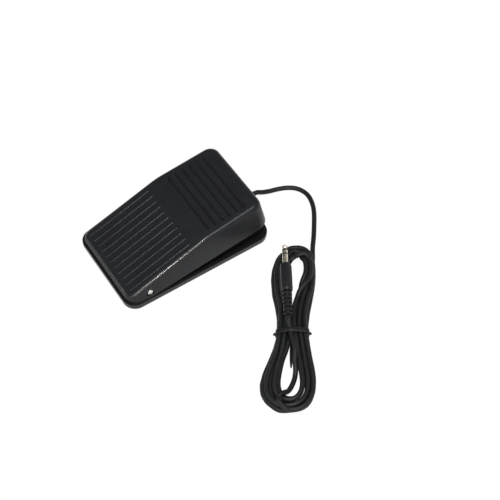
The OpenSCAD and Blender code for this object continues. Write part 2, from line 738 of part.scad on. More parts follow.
module switch_cover() {
    plunger_y = pivot_y - plunger_reach;
    cheek_r = axle_d / 2 + 0.45;
    color("#a31d22") difference() {
        union() {
            switch_block(z_board_top + case_h, switch_h - case_h);
            for (side = [-1, 1])
                translate([side > 0 ? lever_w / 2 + 0.2 : -axle_half, pivot_y, z_pivot]) {
                    rotate([0, 90, 0]) cylinder(r = cheek_r, h = cheek_t);
                    translate([0, -cheek_r, z_switch_top - z_pivot - 0.2])
                        cube([cheek_t, 2 * cheek_r, z_pivot - z_switch_top + 0.2]);
                }
        }
        translate([0, pivot_y, z_pivot]) across(axle_d, switch_w);
        translate([0, plunger_y, z_switch_top - 2.2]) cylinder(r = plunger_d / 2 + plunger_fit, h = 3);
    }
}

module lever_axle() {
    color("silver") translate([0, pivot_y, z_pivot]) across(axle_d, axle_half);
}

module switch_lever() {
    eye_r = axle_d / 2 + axle_fit;
    color("#c8cacc") translate([0, pivot_y, z_pivot]) difference() {
        union() {
            rotate([0, 90, 0]) translate([0, 0, -lever_w / 2]) cylinder(r = eye_r + eye_wall, h = lever_w);
            rotate([-lever_angle, 0, 0])
                translate([-lever_w / 2, -(lever_reach + lever_tip) / cos(lever_angle), -lever_t / 2])
                    cube([lever_w, (lever_reach + lever_tip) / cos(lever_angle), lever_t]);
        }
        across(2 * eye_r, lever_w);
    }
}

module switch_plunger() {
    top = z_pivot + plunger_reach * tan(lever_angle) - (lever_t / 2 + touch_gap) / cos(lever_angle)
        - plunger_d / 2 * tan(lever_angle);
    color("#e8e8e4") translate([0, pivot_y - plunger_reach, z_switch_top - 0.9])
        cylinder(d = plunger_d, h = top - z_switch_top + 0.9);
}

module terminal(i) {
    color("#d8b45a") translate([terminal_spots[i][0], terminal_spots[i][1], z_board - terminal_reach * 0.5])
        cylinder(d = terminal_d, h = board_t + terminal_reach * 0.5 + case_h - 1.6);
}

module terminal_common() terminal(2);
module terminal_closed() terminal(1);
module terminal_open() terminal(0);

module solder_joints() {
    color("#b9bcc0") for (p = pad_spots) translate([p[0], p[1], z_board_top])
        cylinder(d1 = 1.9, d2 = 1.5, h = 0.5);
}

// ---------------------------------------------------------------- cord inside the tray

z_lead = z_board_top + 0.4 + lead_d / 2;
jacket_y = clamp_y - clamp_l / 2 - jacket_past;
exit_y = base_l / 2 + flange_t + sleeve_l;

// Each lead leaves the jacket, passes the spring in a lane of its own and ends on its own pad;
// the middle one lies on the other two
lane_step = lead_d * 1.6;
lane_x = spring_d / 2 + spring_wire / 2 + lane_step + lead_d * 3;
function lead_points(i) =
    let (side = i - 1, up = i == 1 ? lead_d * 0.75 : 0, start = i == 1 ? lead_d * 0.62 : -lead_d * 0.34,
         x = side * lead_d * 0.58, lane = lane_x + side * lane_step, pad = pad_spots[i],
         gap = spring_y - pad[1], run = jacket_y - spring_y, rise = z_lead - z_cord)
    [[x, jacket_y, z_cord + start], [x * 1.1, jacket_y - run * 0.12, z_cord + start],
     [side * lead_d * 1.1 + lane_x * 0.3, jacket_y - run * 0.42 + side * lead_d * 0.9,
      z_cord + rise * 0.2 + up],
     [lane * 0.94, spring_y + run * 0.33 + side * lead_d * 0.6, z_cord + rise * 0.4 + up],
     [lane, spring_y - gap * 0.12, z_cord + rise * 0.5 + up],
     [pad[0] + (lane - pad[0]) * 0.82, spring_y - gap * 0.5, z_cord + rise * 0.8 + up],
     [pad[0] + (lane - pad[0]) * 0.2, spring_y - gap * 0.77, z_lead + lead_d * 0.2 + up / 2],
     [pad[0], spring_y - gap * 0.94, z_lead], [pad[0], pad[1] - lead_d * 0.6, z_lead]];

module lead(i) {
    tube(smooth(lead_points(i), 2), lead_d, 6);
}

module lead_a() color("#b23a2c") lead(0);
module lead_b() color("#e6e2d8") lead(1);
module lead_c() color("#2c2c2e") lead(2);

module cord_inside() {
    color("#1e1e20") translate([0, jacket_y, z_cord]) rotate([-90, 0, 0])
        cylinder(d = cord_d, h = exit_y - jacket_y);
}

clamp_top = clamp_wall + cord_d / 2;

module cord_clamp() {
    color("#2b2c2e") difference() {
        translate([-clamp_w / 2, clamp_y - clamp_l / 2, z_cord]) cube([clamp_w, clamp_l, clamp_top]);
        translate([0, clamp_y + clamp_l, z_cord]) rotate([90, 0, 0]) cylinder(d = cord_d, h = 2 * clamp_l);
        for (p = clamp_screw_spots) translate([p[0], p[1], z_cord - 1])
            cylinder(d = small_screw_d + 0.2, h = clamp_top + 2);
    }
}

module clamp_screws() {
    color("silver") for (p = clamp_screw_spots) translate([p[0], p[1], 0])
        small_screw(z_cord + clamp_top, clamp_top + z_cord - z_tray - 1);
}

// Moulded bush: inner flange, neck in the rim, outer flange and a tapered sleeve on the cord
module strain_relief() {
    r = cord_d / 2;
    color("#1d1d1f") translate([0, base_l / 2 - rim_t - flange_t, z_cord]) rotate([-90, 0, 0])
        rotate_extrude() polygon([
            [r, 0], [flange_d / 2, 0], [flange_d / 2, flange_t], [relief_neck_d / 2, flange_t],
            [relief_neck_d / 2, flange_t + rim_t], [flange_d / 2, flange_t + rim_t],
            [flange_d / 2, 2 * flange_t + rim_t - 0.3], [flange_d / 2 - 0.3, 2 * flange_t + rim_t],
            [relief_neck_d / 2, 2 * flange_t + rim_t], [r + 0.35, 2 * flange_t + rim_t + sleeve_l],
            [r, 2 * flange_t + rim_t + sleeve_l]]);
}

// ---------------------------------------------------------------- hank, in its own frame
// X runs along the hank away from the plug's tip, Y across it, Z up from the floor

hank_pos = [96.85, 20];
hank_turn = -36.45;
z_lane = cord_d / 2 + 0.1;
tie_lift = tie_t + tie_fit;
lift_reach = 16;

// Outermost half widths at the two bends, and the steps there, on the right and left side
upper_half = [11.1, 12.8];
lower_half = [12.8, 15.7];
upper_step = [3.85, 4.05];
lower_step = [3.9, 4.7];
// The upper layer lies between the loops below it where the lower left side spreads
upper_layer_shift = 0.45;

function swell(u) = (1 - cos(180 * min(1, u > 0 ? u / lower_run : -u / upper_run))) / 2;
function lift(u) = abs(u) < lift_reach ? tie_lift * (1 + cos(180 * u / lift_reach)) / 2 : 0;

// Loop number and layer of a run; even runs go down the right side, odd ones come up the left
function loop_of(h) = floor(min(h, hank_runs - 1 - h) / 2);
function climb_run() = (hank_runs - 1) / 2;
function layer_of(h, u) = h < climb_run() ? 0 : h > climb_run() ? 1
    : (1 - cos(180 * min(1, max(0, (8 - u) / (8 + upper_run))))) / 2;
function shift_of(h, u) = (h > climb_run() && h % 2 == 1 && u > 0) ? upper_layer_shift * swell(u) : 0;
function run_v(h, u) =
    let (s = h % 2, j = loop_of(h) + shift_of(h, u), w = swell(u),
         half = u > 0 ? lower_half[s] : upper_half[s], step = u > 0 ? lower_step[s] : upper_step[s])
    (s == 0 ? 1 : -1) * (waist_half + (half - waist_half) * w - j * (waist_step + (step - waist_step) * w));
function run_point(h, u) = [u, run_v(h, u), z_lane + lift(u) + layer_step * layer_of(h, u)];

// The bend after run h, from a = 0 to 180; even runs end in the lower bend
function bend_point(h, a) =
    let (down = h % 2 == 0,
         j0 = loop_of(h) + shift_of(h, lower_run), j1 = loop_of(h + 1) + shift_of(h + 1, lower_run),
         j = down ? j0 + (j1 - j0) * a / 180
                  : loop_of(h) + (loop_of(h + 1) - loop_of(h)) * a / 180,
         s = down ? (a < 90 ? 0 : 1) : (a < 90 ? 1 : 0),
         half = (down ? lower_half : upper_half)[s] - j * (down ? lower_step : upper_step)[s],
         reach = down ? lower_bend - j * lower_bend_step : upper_bend - j * upper_bend_step,
         z = z_lane + layer_step * (h < climb_run() ? 0 : 1))
    down ? [lower_run + reach * sin(a), half * cos(a), z] : [-upper_run - reach * sin(a), -half * cos(a), z];

// An even number, so that one ring of every run lies right under the tie
run_rings = 6;
bend_rings = 6;
straight_end = cord_d * 1.5;

hank_path = concat(
    [[-upper_run - straight_end, upper_half[0], z_lane]],
    [for (h = [0 : hank_runs - 1]) each concat(
        [for (i = [0 : run_rings - 1]) let (q = i / run_rings, from = h % 2 == 0 ? -upper_run : lower_run,
                                            to = h % 2 == 0 ? lower_run : -upper_run)
            if (i > 0 || h == 0) run_point(h, q < 0.5 ? from * (1 - 2 * q) : to * (2 * q - 1))],
        h < hank_runs - 1 ? [for (i = [0 : bend_rings]) bend_point(h, 180 * i / bend_rings)]
                          : [run_point(h, lower_run), run_point(h, lower_run) + [straight_end, 0, 0]])]);

// Least gap between stretches of the hank that aren't neighbours along it
function mids(p) = [for (i = [0 : len(p) - 2]) each [p[i], (p[i] + p[i + 1]) / 2]];
hank_marks = mids(hank_path);
hank_gap = min([for (i = [0 : len(hank_marks) - 14]) for (j = [i + 13 : len(hank_marks) - 1])
    norm(hank_marks[i] - hank_marks[j])]) - cord_d;

module hank_place() {
    translate([hank_pos[0], hank_pos[1], 0]) rotate([0, 0, hank_turn]) children();
}
function from_hank(p) = [
    hank_pos[0] + p[0] * cos(hank_turn) - p[1] * sin(hank_turn),
    hank_pos[1] + p[0] * sin(hank_turn) + p[1] * cos(hank_turn), p[2]];

module cord_hank() {
    color("#202123") hank_place() tube(hank_path, cord_d, 6);
}

// Route of the free stretch from the strain relief to the hank
lead_route = [
    [0.3, 60.4, z_cord - 0.3], [1, 64.4, 3.2], [2, 69, 2], [3.4, 74, z_lane], [5.6, 79, z_lane],
    [9, 83.4, z_lane], [13.8, 86, z_lane], [19, 86.5, z_lane], [25.4, 84.8, z_lane],
    [31.6, 81.5, z_lane], [39.4, 76, z_lane], [46, 71, z_lane], [53, 65.3, z_lane],
    [60.4, 60.2, z_lane]];

module cord_lead() {
    route = concat([[0, exit_y, z_cord]], lead_route, [from_hank(hank_path[0])]);
    color("#202123") tube(smooth(route, 2), cord_d, 8);
}

// Route of the tail in the hank's frame, from the last loop over the bundle into the plug
z_over = z_lane + 2 * layer_step;
plug_at = [-8.5, -2.9, z_over + (grip_d - cord_d) / 2 - 0.15];
tail_route = [
    [41, 12, 5.4], [45, 9.2, 6.6], [47.4, 4.6, 7.9], [48.3, 0, z_over], [48.2, -4.9, z_over],
    [47, -8.1, z_over], [44, -9.4, z_over], [41, -8.1, z_over], [39.7, -5, z_over],
    [38.4, -2.2, z_over], [35.6, 0, z_over], [31.4, 1.7, z_over], [26.4, 2.7, z_over],
    [20.6, 2.8, z_over + 0.1], [14.4, 2.1, z_over + 0.6], [8.4, 1, z_over + 1.3],
    [2.8, -0.7, z_over + 1.8], [-2.4, -2, plug_at[2]]];

module cord_tail() {
    end = plug_at + [cord_d * cos(plug_turn), cord_d * sin(plug_turn), 0];
    color("#202123") hank_place()
        tube(smooth(concat([hank_path[len(hank_path) - 1]], tail_route, [end, plug_at]), 2), cord_d, 8);
}

// The tie hugs both layers and the tail
function tie_circles() = [
    [waist_half, z_lane + tie_lift], [-waist_half, z_lane + tie_lift],
    [waist_half, z_lane + tie_lift + layer_step], [-waist_half, z_lane + tie_lift + layer_step],
    [-1.7, plug_at[2] - 0.1]];

module tie_outline(grow) {
    hull() for (c = tie_circles()) translate(c) circle(r = cord_d / 2 + grow, $fn = 32);
}

module hank_tie() {
    color("#17181a") hank_place() {
        translate([-tie_w / 2, 0, 0]) rotate([90, 0, 90]) linear_extrude(tie_w) difference() {
            tie_outline(tie_fit + tie_t);
            tie_outline(tie_fit);
        }
        for (side = [-1, 1])
            translate([0, side * (waist_half + cord_d / 2 + tie_fit + tie_t - 0.1), z_lane + 2])
            rotate([-90 * side, 0, 0]) cylinder(d = 1.6, h = 1.6);
        translate([0, 0, 0.05]) linear_extrude(tie_lift / 2) polygon([
            [0, -tie_w * 0.3], [tie_end * 0.75, tie_w * 0.15], [tie_end, 0], [tie_end * 0.77, tie_w * 0.75],
            [0, tie_w * 0.3]]);
    }
}

// ---------------------------------------------------------------- plug, along its own X

module plug_place() {
    hank_place() translate(plug_at) rotate([0, 0, 180 + plug_turn]) rotate([0, 90, 0]) children();
}

grip_x = ribs_l;
jack_x = ribs_l + grip_l;
relief_r0 = cord_d / 2 + 1;
relief_r1 = grip_d / 2 - 0.55;
slot_share = 0.42;
web_w = 1.4;

// Slots go nearly all round, and the two webs left in each turn by a right angle from slot to slot
module plug_relief() {
    pitch = ribs_l / rib_count;
    color("#1a1a1c") plug_place() difference() {
        cylinder(r1 = relief_r0, r2 = relief_r1, h = ribs_l);
        for (i = [0 : rib_count - 1]) translate([0, 0, (i + 0.5) * pitch]) rotate([0, 0, 90 * (i % 2)])
            difference() {
                cylinder(r = grip_d, h = pitch * slot_share);
                translate([0, 0, -1]) cylinder(r = cord_d / 2 + 0.15, h = pitch + 2);
                translate([-grip_d, -web_w / 2, -1]) cube([2 * grip_d, web_w, pitch + 2]);
            }
    }
}

module plug_grip() {
    r = grip_d / 2;
    color("#1c1d1f") plug_place() translate([0, 0, grip_x]) rotate_extrude() polygon([
        [0, 0], [r - 0.7, 0], [r - 0.15, 0.8], [r, 2], [r, grip_l - 2.4], [r - 0.35, grip_l - 0.8],
        [r - 1.1, grip_l], [0, grip_l]]);
}

insulator_l = 0.75;
tip_l = 3.9;
ring_l = 2.2;
sleeve_bare = jack_l - tip_l - ring_l - 2 * insulator_l;

module jack_band(from, l) {
    plug_place() translate([0, 0, jack_x + from]) cylinder(d = jack_d, h = l);
}

module jack_sleeve() color("#e1ddcb") jack_band(0, sleeve_bare);
module jack_ring() color("#e1ddcb") jack_band(sleeve_bare + insulator_l, ring_l);
module jack_insulators() color("#111112") {
    jack_band(sleeve_bare, insulator_l);
    jack_band(sleeve_bare + insulator_l + ring_l, insulator_l);
}
module jack_tip() {
    r = jack_d / 2;
    color("#e1ddcb") plug_place() translate([0, 0, jack_x + jack_l - tip_l]) rotate_extrude() polygon([
        [0, 0], [r - 0.55, 0], [r - 0.6, 0.8], [r - 0.05, 1.7], [r - 0.05, 2.3], [0.55, tip_l - 0.15],
        [0.3, tip_l], [0, tip_l]]);
}

echo(hank_gap_mm = hank_gap);
echo(cord_length_mm = path_length(hank_path) + path_length(smooth(lead_route, 2)) + path_length(tail_route));

base_tray();
bottom_cover();
foot_pads();
cover_screws();
treadle();
hinge_pin();
return_spring();
circuit_board();
board_screws();
switch_case();
switch_cover();
switch_plunger();
switch_lever();
lever_axle();
terminal_common();
terminal_closed();
terminal_open();
solder_joints();
lead_a();
lead_b();
lead_c();
cord_inside();
cord_clamp();
clamp_screws();
strain_relief();
cord_lead();
cord_hank();
cord_tail();
hank_tie();
plug_relief();
plug_grip();
jack_sleeve();
jack_ring();
jack_tip();
jack_insulators();
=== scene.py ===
"""Looks for the foot switch with its cord, tied hank and jack plug. Metres, in the CAD's own frame."""

import json
import math

import bmesh
import bpy
import numpy as np
from mathutils import Matrix, Vector

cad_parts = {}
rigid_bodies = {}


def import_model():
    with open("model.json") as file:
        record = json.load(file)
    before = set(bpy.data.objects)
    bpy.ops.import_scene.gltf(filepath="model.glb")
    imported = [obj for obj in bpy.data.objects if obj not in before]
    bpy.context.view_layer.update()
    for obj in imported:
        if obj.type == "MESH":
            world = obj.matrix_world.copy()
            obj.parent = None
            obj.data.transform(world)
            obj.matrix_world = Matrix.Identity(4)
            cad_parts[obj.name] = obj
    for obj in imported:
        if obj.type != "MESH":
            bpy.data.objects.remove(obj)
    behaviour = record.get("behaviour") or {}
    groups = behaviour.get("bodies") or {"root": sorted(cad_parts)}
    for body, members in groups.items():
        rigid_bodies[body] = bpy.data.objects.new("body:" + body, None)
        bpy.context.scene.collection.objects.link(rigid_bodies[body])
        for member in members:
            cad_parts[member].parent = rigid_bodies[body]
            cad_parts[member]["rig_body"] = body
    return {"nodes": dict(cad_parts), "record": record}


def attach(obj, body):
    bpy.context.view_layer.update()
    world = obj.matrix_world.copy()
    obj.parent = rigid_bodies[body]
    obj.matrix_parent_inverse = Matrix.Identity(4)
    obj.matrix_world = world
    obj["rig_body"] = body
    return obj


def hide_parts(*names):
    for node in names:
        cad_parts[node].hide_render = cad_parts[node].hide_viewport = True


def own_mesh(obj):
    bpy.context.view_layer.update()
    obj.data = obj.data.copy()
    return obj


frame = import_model()
bpy.context.scene.view_settings.view_transform = "Standard"
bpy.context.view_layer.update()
MM = 0.001


# ---------------------------------------------------------------- camera, fitted to the photograph

CAMERA_AT = (0.35732, -0.18090, 0.55477)
HEADING, DIP = math.radians(146.6), math.radians(54.9)
FOCAL_PX, PICTURE_PX, SENSOR_MM = 1115, 500, 36.0


def make_camera():
    """A camera that looks along HEADING and down by DIP."""
    forward = Vector((math.cos(DIP) * math.cos(HEADING), math.cos(DIP) * math.sin(HEADING), -math.sin(DIP)))
    right = forward.cross(Vector((0, 0, 1))).normalized()
    up = right.cross(forward)
    data = bpy.data.cameras.new("camera")
    data.sensor_width = SENSOR_MM
    data.lens = FOCAL_PX / PICTURE_PX * SENSOR_MM
    data.clip_start, data.clip_end = 0.01, 20
    cam = bpy.data.objects.new("camera", data)
    cam.matrix_world = Matrix.Translation(CAMERA_AT) @ Matrix((right, up, -forward)).transposed().to_4x4()
    bpy.context.scene.collection.objects.link(cam)
    bpy.context.scene.camera = cam


make_camera()


# ---------------------------------------------------------------- cord's route (millimetres)
# The hank has a frame of its own: u along it, towards its lower end, and v across it. Its even runs go down on
# the right (v over 0) and its odd runs come back on the left. CLIMB is the run that rises to the upper layer.

# Sizes of the CAD source
CORD_D = 3.0
FOOT_PROUD, CORD_EXIT_H = 0.6, 4.3
HALF_LENGTH, FLANGE_T, SLEEVE_L = 50, 1.1, 6
HANK_POS = np.array([96.85, 20.0])
HANK_TURN = math.radians(-36.45)
UPPER_RUN, LOWER_RUN = 39.0, 33.0
UPPER_BEND, LOWER_BEND = 22.0, 14.4
UPPER_BEND_STEP, LOWER_BEND_STEP = 5.6, 4.4
WAIST_HALF, WAIST_STEP = 8.7, 3.45
LAYER_STEP, LAYER_SHIFT = 3.5, 0.45
UPPER_HALF, LOWER_HALF = (11.1, 12.8), (12.8, 15.7)
UPPER_STEP, LOWER_STEP = (3.85, 4.05), (3.9, 4.7)
TIE_T, TIE_FIT, LIFT_REACH = 0.7, 0.25, 16.0
FLOOR_GAP = 0.1
RUNS = 11
PLUG_TURN = math.radians(4.4)
PLUG_AT = np.array([-8.5, -2.9, 10.45])

# What follows from them
Z_CORD = FOOT_PROUD + CORD_EXIT_H
EXIT_Y = HALF_LENGTH + FLANGE_T + SLEEVE_L
TIE_LIFT = TIE_T + TIE_FIT
Z_LANE = CORD_D / 2 + FLOOR_GAP
Z_OVER = Z_LANE + 2 * LAYER_STEP
CLIMB = (RUNS - 1) // 2
PLUG_WAY = np.array([math.cos(PLUG_TURN), math.sin(PLUG_TURN), 0])

# The free lead: its first points in the CAD and as it is laid here, and the rest of them
CAD_LEAD = [(0.3, 60.4, Z_CORD - 0.3), (1, 64.4, 3.2), (2, 69, 2)]
LAID_LEAD = [(0.35, 60.4, 4.4), (1.1, 64.2, 2.8), (2.0, 69, 1.7)]
LEAD_ROUTE = [(x, y, Z_LANE) for x, y in (
    (3.4, 74), (5.6, 79), (9, 83.4), (13.8, 86), (19, 86.5), (25.4, 84.8), (31.6, 81.5), (39.4, 76), (46, 71),
    (53, 65.3), (60.4, 60.2))]


def tail_route(low, over, rising):
    """Tail's points in the hank's frame: out of the last run, through the hook and up to the plug."""
    return low + [(x, y, Z_OVER) for x, y in over] + [(x, y, Z_OVER + z) for x, y, z in rising] + [
        (-2.4, -2, PLUG_AT[2])]


CAD_TAIL = tail_route(
    [(41, 12, 5.4), (45, 9.2, 6.6), (47.4, 4.6, 7.9)],
    [(48.3, 0), (48.2, -4.9), (47, -8.1), (44, -9.4), (41, -8.1), (39.7, -5), (38.4, -2.2), (35.6, 0),
     (31.4, 1.7), (26.4, 2.7)],
    [(20.6, 2.8, 0.1), (14.4, 2.1, 0.6), (8.4, 1, 1.3), (2.8, -0.7, 1.8)])
LAID_TAIL = tail_route(
    [(41, 11.2, 5.4), (45, 8.6, 6.6), (47.6, 4.6, 7.6)],
    [(47.6, 0), (47.4, -4.8), (46.2, -8.4), (43.8, -10.2), (41.5, -9.2), (40.3, -6.4), (38.9, -3.7),
     (36.4, -1.4), (33.3, 0.4), (28.4, 2.2)],
    [(22, 3.0, 0.1), (15, 2.9, 0.6), (8.6, 2.1, 1.3), (2.8, 0.1, 1.8)])


def from_hank(p):
    """Points of the hank's own frame in the row frame."""
    p = np.atleast_2d(np.asarray(p, float))
    c, s = math.cos(HANK_TURN), math.sin(HANK_TURN)
    return np.column_stack((HANK_POS[0] + p[:, 0] * c - p[:, 1] * s,
                            HANK_POS[1] + p[:, 0] * s + p[:, 1] * c, p[:, 2]))


def to_hank(p):
    """Points of the row frame in the hank's own frame."""
    p = np.atleast_2d(np.asarray(p, float))
    c, s = math.cos(HANK_TURN), math.sin(HANK_TURN)
    d = p[:, :2] - HANK_POS
    return np.column_stack((d[:, 0] * c + d[:, 1] * s, -d[:, 0] * s + d[:, 1] * c, p[:, 2]))


def swell(u):
    """From 0 at the waist to 1 where the bends start."""
    return (1 - math.cos(math.pi * min(1.0, u / LOWER_RUN if u > 0 else -u / UPPER_RUN))) / 2


def lift(u):
    """How far the strands are off the floor where they lie on the tie."""
    return TIE_LIFT * (1 + math.cos(math.pi * u / LIFT_REACH)) / 2 if abs(u) < LIFT_REACH else 0.0


def loop_of(h):
    """How many loops lie outside run h in its layer."""
    return math.floor(min(h, RUNS - 1 - h) / 2)


def layer_of(h, u, climb_from=8):
    """0 in the lower layer and 1 in the upper one."""
    if h != CLIMB:
        return 0.0 if h < CLIMB else 1.0
    return (1 - math.cos(math.pi * min(1.0, max(0.0, (climb_from - u) / (climb_from + UPPER_RUN))))) / 2


class CadHank:
    """The hank of the CAD source, with room between its strands."""
    first_half = UPPER_HALF[0]
    lead, tail = CAD_LEAD, CAD_TAIL

    @staticmethod
    def shift(h, u):
        """How far the upper layer's left runs lie further in, in strands."""
        return LAYER_SHIFT * swell(u) if h > CLIMB and h % 2 == 1 and u > 0 else 0.0

    @classmethod
    def run(cls, h, u):
        """The point of run h at u."""
        side, j, w = h % 2, loop_of(h) + cls.shift(h, u), swell(u)
        half = (LOWER_HALF if u > 0 else UPPER_HALF)[side]
        step = (LOWER_STEP if u > 0 else UPPER_STEP)[side]
        v = WAIST_HALF + (half - WAIST_HALF) * w - j * (WAIST_STEP + (step - WAIST_STEP) * w)
        return u, v if side == 0 else -v, Z_LANE + lift(u) + LAYER_STEP * layer_of(h, u)

    @classmethod
    def bend(cls, h, a):
        """The point at angle a of the bend that follows run h."""
        down = h % 2 == 0
        u = LOWER_RUN if down else -UPPER_RUN
        j0, j1 = loop_of(h) + cls.shift(h, u), loop_of(h + 1) + cls.shift(h + 1, u)
        first = a < math.pi / 2
        s = (0 if first else 1) if down else (1 if first else 0)
        j = j0 + (j1 - j0) * a / math.pi
        half = (LOWER_HALF if down else UPPER_HALF)[s] - j * (LOWER_STEP if down else UPPER_STEP)[s]
        reach = LOWER_BEND - j * LOWER_BEND_STEP if down else UPPER_BEND - j * UPPER_BEND_STEP
        z = Z_LANE + LAYER_STEP * (0 if h < CLIMB else 1)
        if down:
            return u + reach * math.sin(a), half * math.cos(a), z
        return u - reach * math.sin(a), -half * math.cos(a), z


# As measured in the photograph along the hank (u, size): how far out the centre line of each side's outermost
# strand lies, and how wide that side's strands lie together
RIGHT_EDGE = np.array([(-60, 7.6), (-56, 9.8), (-50, 10.9), (-41, 11.3), (-33, 10.7), (-24, 9.5), (-16, 8.3),
                       (-8, 7.7), (0, 7.6), (8, 8.9), (16, 10.4), (23, 11.9), (31, 12.9), (38, 12.1), (44, 9.4),
                       (49, 3.5)])
LEFT_EDGE = np.array([(-60, 7.7), (-53, 10.3), (-45, 12.2), (-38, 12.5), (-27, 11.3), (-19, 9.3), (-11, 7.9),
                      (1, 7.6), (9, 9.2), (17, 11.7), (25, 14.4), (32, 15.8), (40, 15.2), (45, 12.6), (48, 8)])
RIGHT_WIDE = np.array([(-60, 5.2), (-41, 5.6), (-33, 6.5), (-28, 7.2), (-21, 7.7), (-14, 7.6), (-6, 6.8),
                       (0, 6.1), (14, 6.05), (22, 5.6), (34, 5.6), (48, 5.8)])
LEFT_WIDE = np.array([(-60, 6.1), (-44, 7.2), (-30, 7.4), (-20, 7.5), (-12, 7.0), (0, 6.1), (10, 6.2),
                      (18, 7.2), (25, 8.8), (32, 9.8), (40, 9.8), (48, 8.4)])


class LaidHank:
    """Where the strands would lie if they were drawn together, as the photograph shows them."""
    first_half = float(np.interp(-43.5, *RIGHT_EDGE.T))
    lead, tail = LAID_LEAD, LAID_TAIL
    layer = 2.9                                # height of a strand that lies between two others
    stagger, stagger_over = 0.5, 14.0          # the upper layer's shift, in strands, away from the waist
    heap_from, heap_over = -27, 14             # where the upper right strands climb on each other
    heap_steps = (0, 2.9, 2.9)                 # how far in they then lie, loop by loop from outside
    heap_rise = {"lower": 5.9, "upper": 3.0}   # how far the innermost ones rise
    heap_steep, heap_lag = 1.6, 0.6            # they rise first and then move in
    lower_reach, upper_reach = (14.2, 2.65), (22.2, 2.8)
    lower_skew, upper_skew = 0.12, -0.06       # lean of the lower bends, lower and upper layer

    @classmethod
    def heap(cls, h, u):
        """How far the strands at the upper right are heaped: the inner ones lie on the others there."""
        return max(0.0, min(1.0, (cls.heap_from - u) / cls.heap_over)) if h % 2 == 0 else 0.0

    @classmethod
    def lane(cls, h, u):
        """How far out run h lies."""
        left = h % 2 == 1
        edge = np.interp(u, *(LEFT_EDGE if left else RIGHT_EDGE).T)
        wide = np.interp(u, *(LEFT_WIDE if left else RIGHT_WIDE).T)
        stagger = cls.stagger * min(1, abs(u) / cls.stagger_over) if left or u < 0 else 0.0
        flat = wide * (loop_of(h) + (stagger if h > CLIMB else 0)) / (2 + stagger)
        on_top = loop_of(h) == 2 and h >= CLIMB
        heaped = 0 if on_top else cls.heap_steps[loop_of(h)]
        share = max(0.0, cls.heap(h, u) * cls.heap_steep - cls.heap_lag)
        return edge - flat - (heaped - flat) * share

    @classmethod
    def rise(cls, h, share):
        """How far a heaped run rises, for the share of it that is heaped."""
        top = cls.heap_rise["lower" if h < CLIMB else "upper"]
        return min(1, share * cls.heap_steep) * top if loop_of(h) == 2 else 0.0

    @classmethod
    def run(cls, h, u):
        v = cls.lane(h, u)
        z = Z_LANE + lift(u) + cls.layer * layer_of(h, u) + cls.rise(h, cls.heap(h, u))
        return u, v if h % 2 == 0 else -v, z

    @classmethod
    def squareness(cls, h, down, right):
        """Exponent of the bend's outline: 1 is round, and less is squarer."""
        if not down:
            return 0.68 if right else 1.0
        return 0.83 if h < CLIMB else (0.75 if right else 1.0)

    @classmethod
    def bend(cls, h, a):
        down = h % 2 == 0
        u = LOWER_RUN if down else -UPPER_RUN
        v0, v1 = cls.lane(h, u), cls.lane(h + 1, u)
        half, mid = (v0 + v1) / 2, (v0 - v1) / 2 * (1 if down else -1)
        j = loop_of(h) + (loop_of(h + 1) - loop_of(h)) * a / math.pi
        outer, step = cls.lower_reach if down else cls.upper_reach
        reach = outer - step * j
        co, si = math.cos(a), math.sin(a)
        square = cls.squareness(h, down, co > 0 if down else co < 0)
        out, across = reach * si ** square, half * math.copysign(abs(co) ** square, co)
        z = Z_LANE + cls.layer * (0 if h < CLIMB else 1)
        if down:
            v = mid + across
            return u + out + (cls.lower_skew if h < CLIMB else cls.upper_skew) * v * si, v, z
        return u - out, mid - across, z + cls.rise(h + 1, (1 - co) / 2)


def smooth(points, steps):
    """Catmull-Rom through the points, as in the CAD source, with steps pieces to a stretch."""
    p = np.asarray(points, float)
    out = []
    for i in range(len(p) - 1):
        a, b, c, d = p[max(i - 1, 0)], p[i], p[i + 1], p[min(i + 2, len(p) - 1)]
        for k in range(steps):
            s = k / steps
            out.append(0.5 * (2 * b + (c - a) * s + (2 * a - 5 * b + 4 * c - d) * s ** 2
                              + (3 * b - a - 3 * c + d) * s ** 3))
    return np.array(out + [p[-1]])


def whole_cord(hank, rings=24, steps=8):
    """Lead, hank and tail as one line in the hank's frame, with as many points for either hank."""
    straight = CORD_D * 1.5
    pts = [(-UPPER_RUN - straight, hank.first_half, Z_LANE)]
    for h in range(RUNS):
        a, b = (-UPPER_RUN, LOWER_RUN) if h % 2 == 0 else (LOWER_RUN, -UPPER_RUN)
        pts += [hank.run(h, a + (b - a) * i / rings) for i in range(rings) if i or h == 0]
        if h < RUNS - 1:
            pts += [hank.bend(h, math.pi * i / rings) for i in range(rings + 1)]
    end = hank.run(RUNS - 1, LOWER_RUN)
    pts += [end, (end[0] + straight, end[1], end[2])]
    tail = smooth([pts[-1], *hank.tail, PLUG_AT + CORD_D * PLUG_WAY, PLUG_AT], steps)
    lead = smooth([(0, EXIT_Y, Z_CORD), *hank.lead, *LEAD_ROUTE, tuple(from_hank(pts[0])[0])], steps)
    return np.vstack((to_hank(lead)[:-1], np.array(pts), tail[1:]))


def spaced(step, *lines):
    """The lines with points a fixed distance apart along the first of them."""
    keep = np.r_[True, np.linalg.norm(np.diff(lines[0], axis=0), axis=1) > 1e-6]
    s = np.r_[0, np.cumsum(np.linalg.norm(np.diff(lines[0][keep], axis=0), axis=1))]
    q = np.linspace(0, s[-1], int(round(s[-1] / step)) + 1)
    return [np.column_stack([np.interp(q, s, line[keep][:, k]) for k in range(3)]) for line in lines]


def bend_radius(p, k):
    """Radius of the bend at each point, measured over k points to either side."""
    a, b, c = p[:-2 * k], p[k:-k], p[2 * k:]
    sides = np.linalg.norm(b - a, axis=1) * np.linalg.norm(c - b, axis=1) * np.linalg.norm(a - c, axis=1)
    twice_area = np.linalg.norm(np.cross(b - a, c - a), axis=1)
    straight = np.full(k, 1e9)
    return np.r_[straight, sides / (2 * np.maximum(twice_area, 1e-9)), straight]


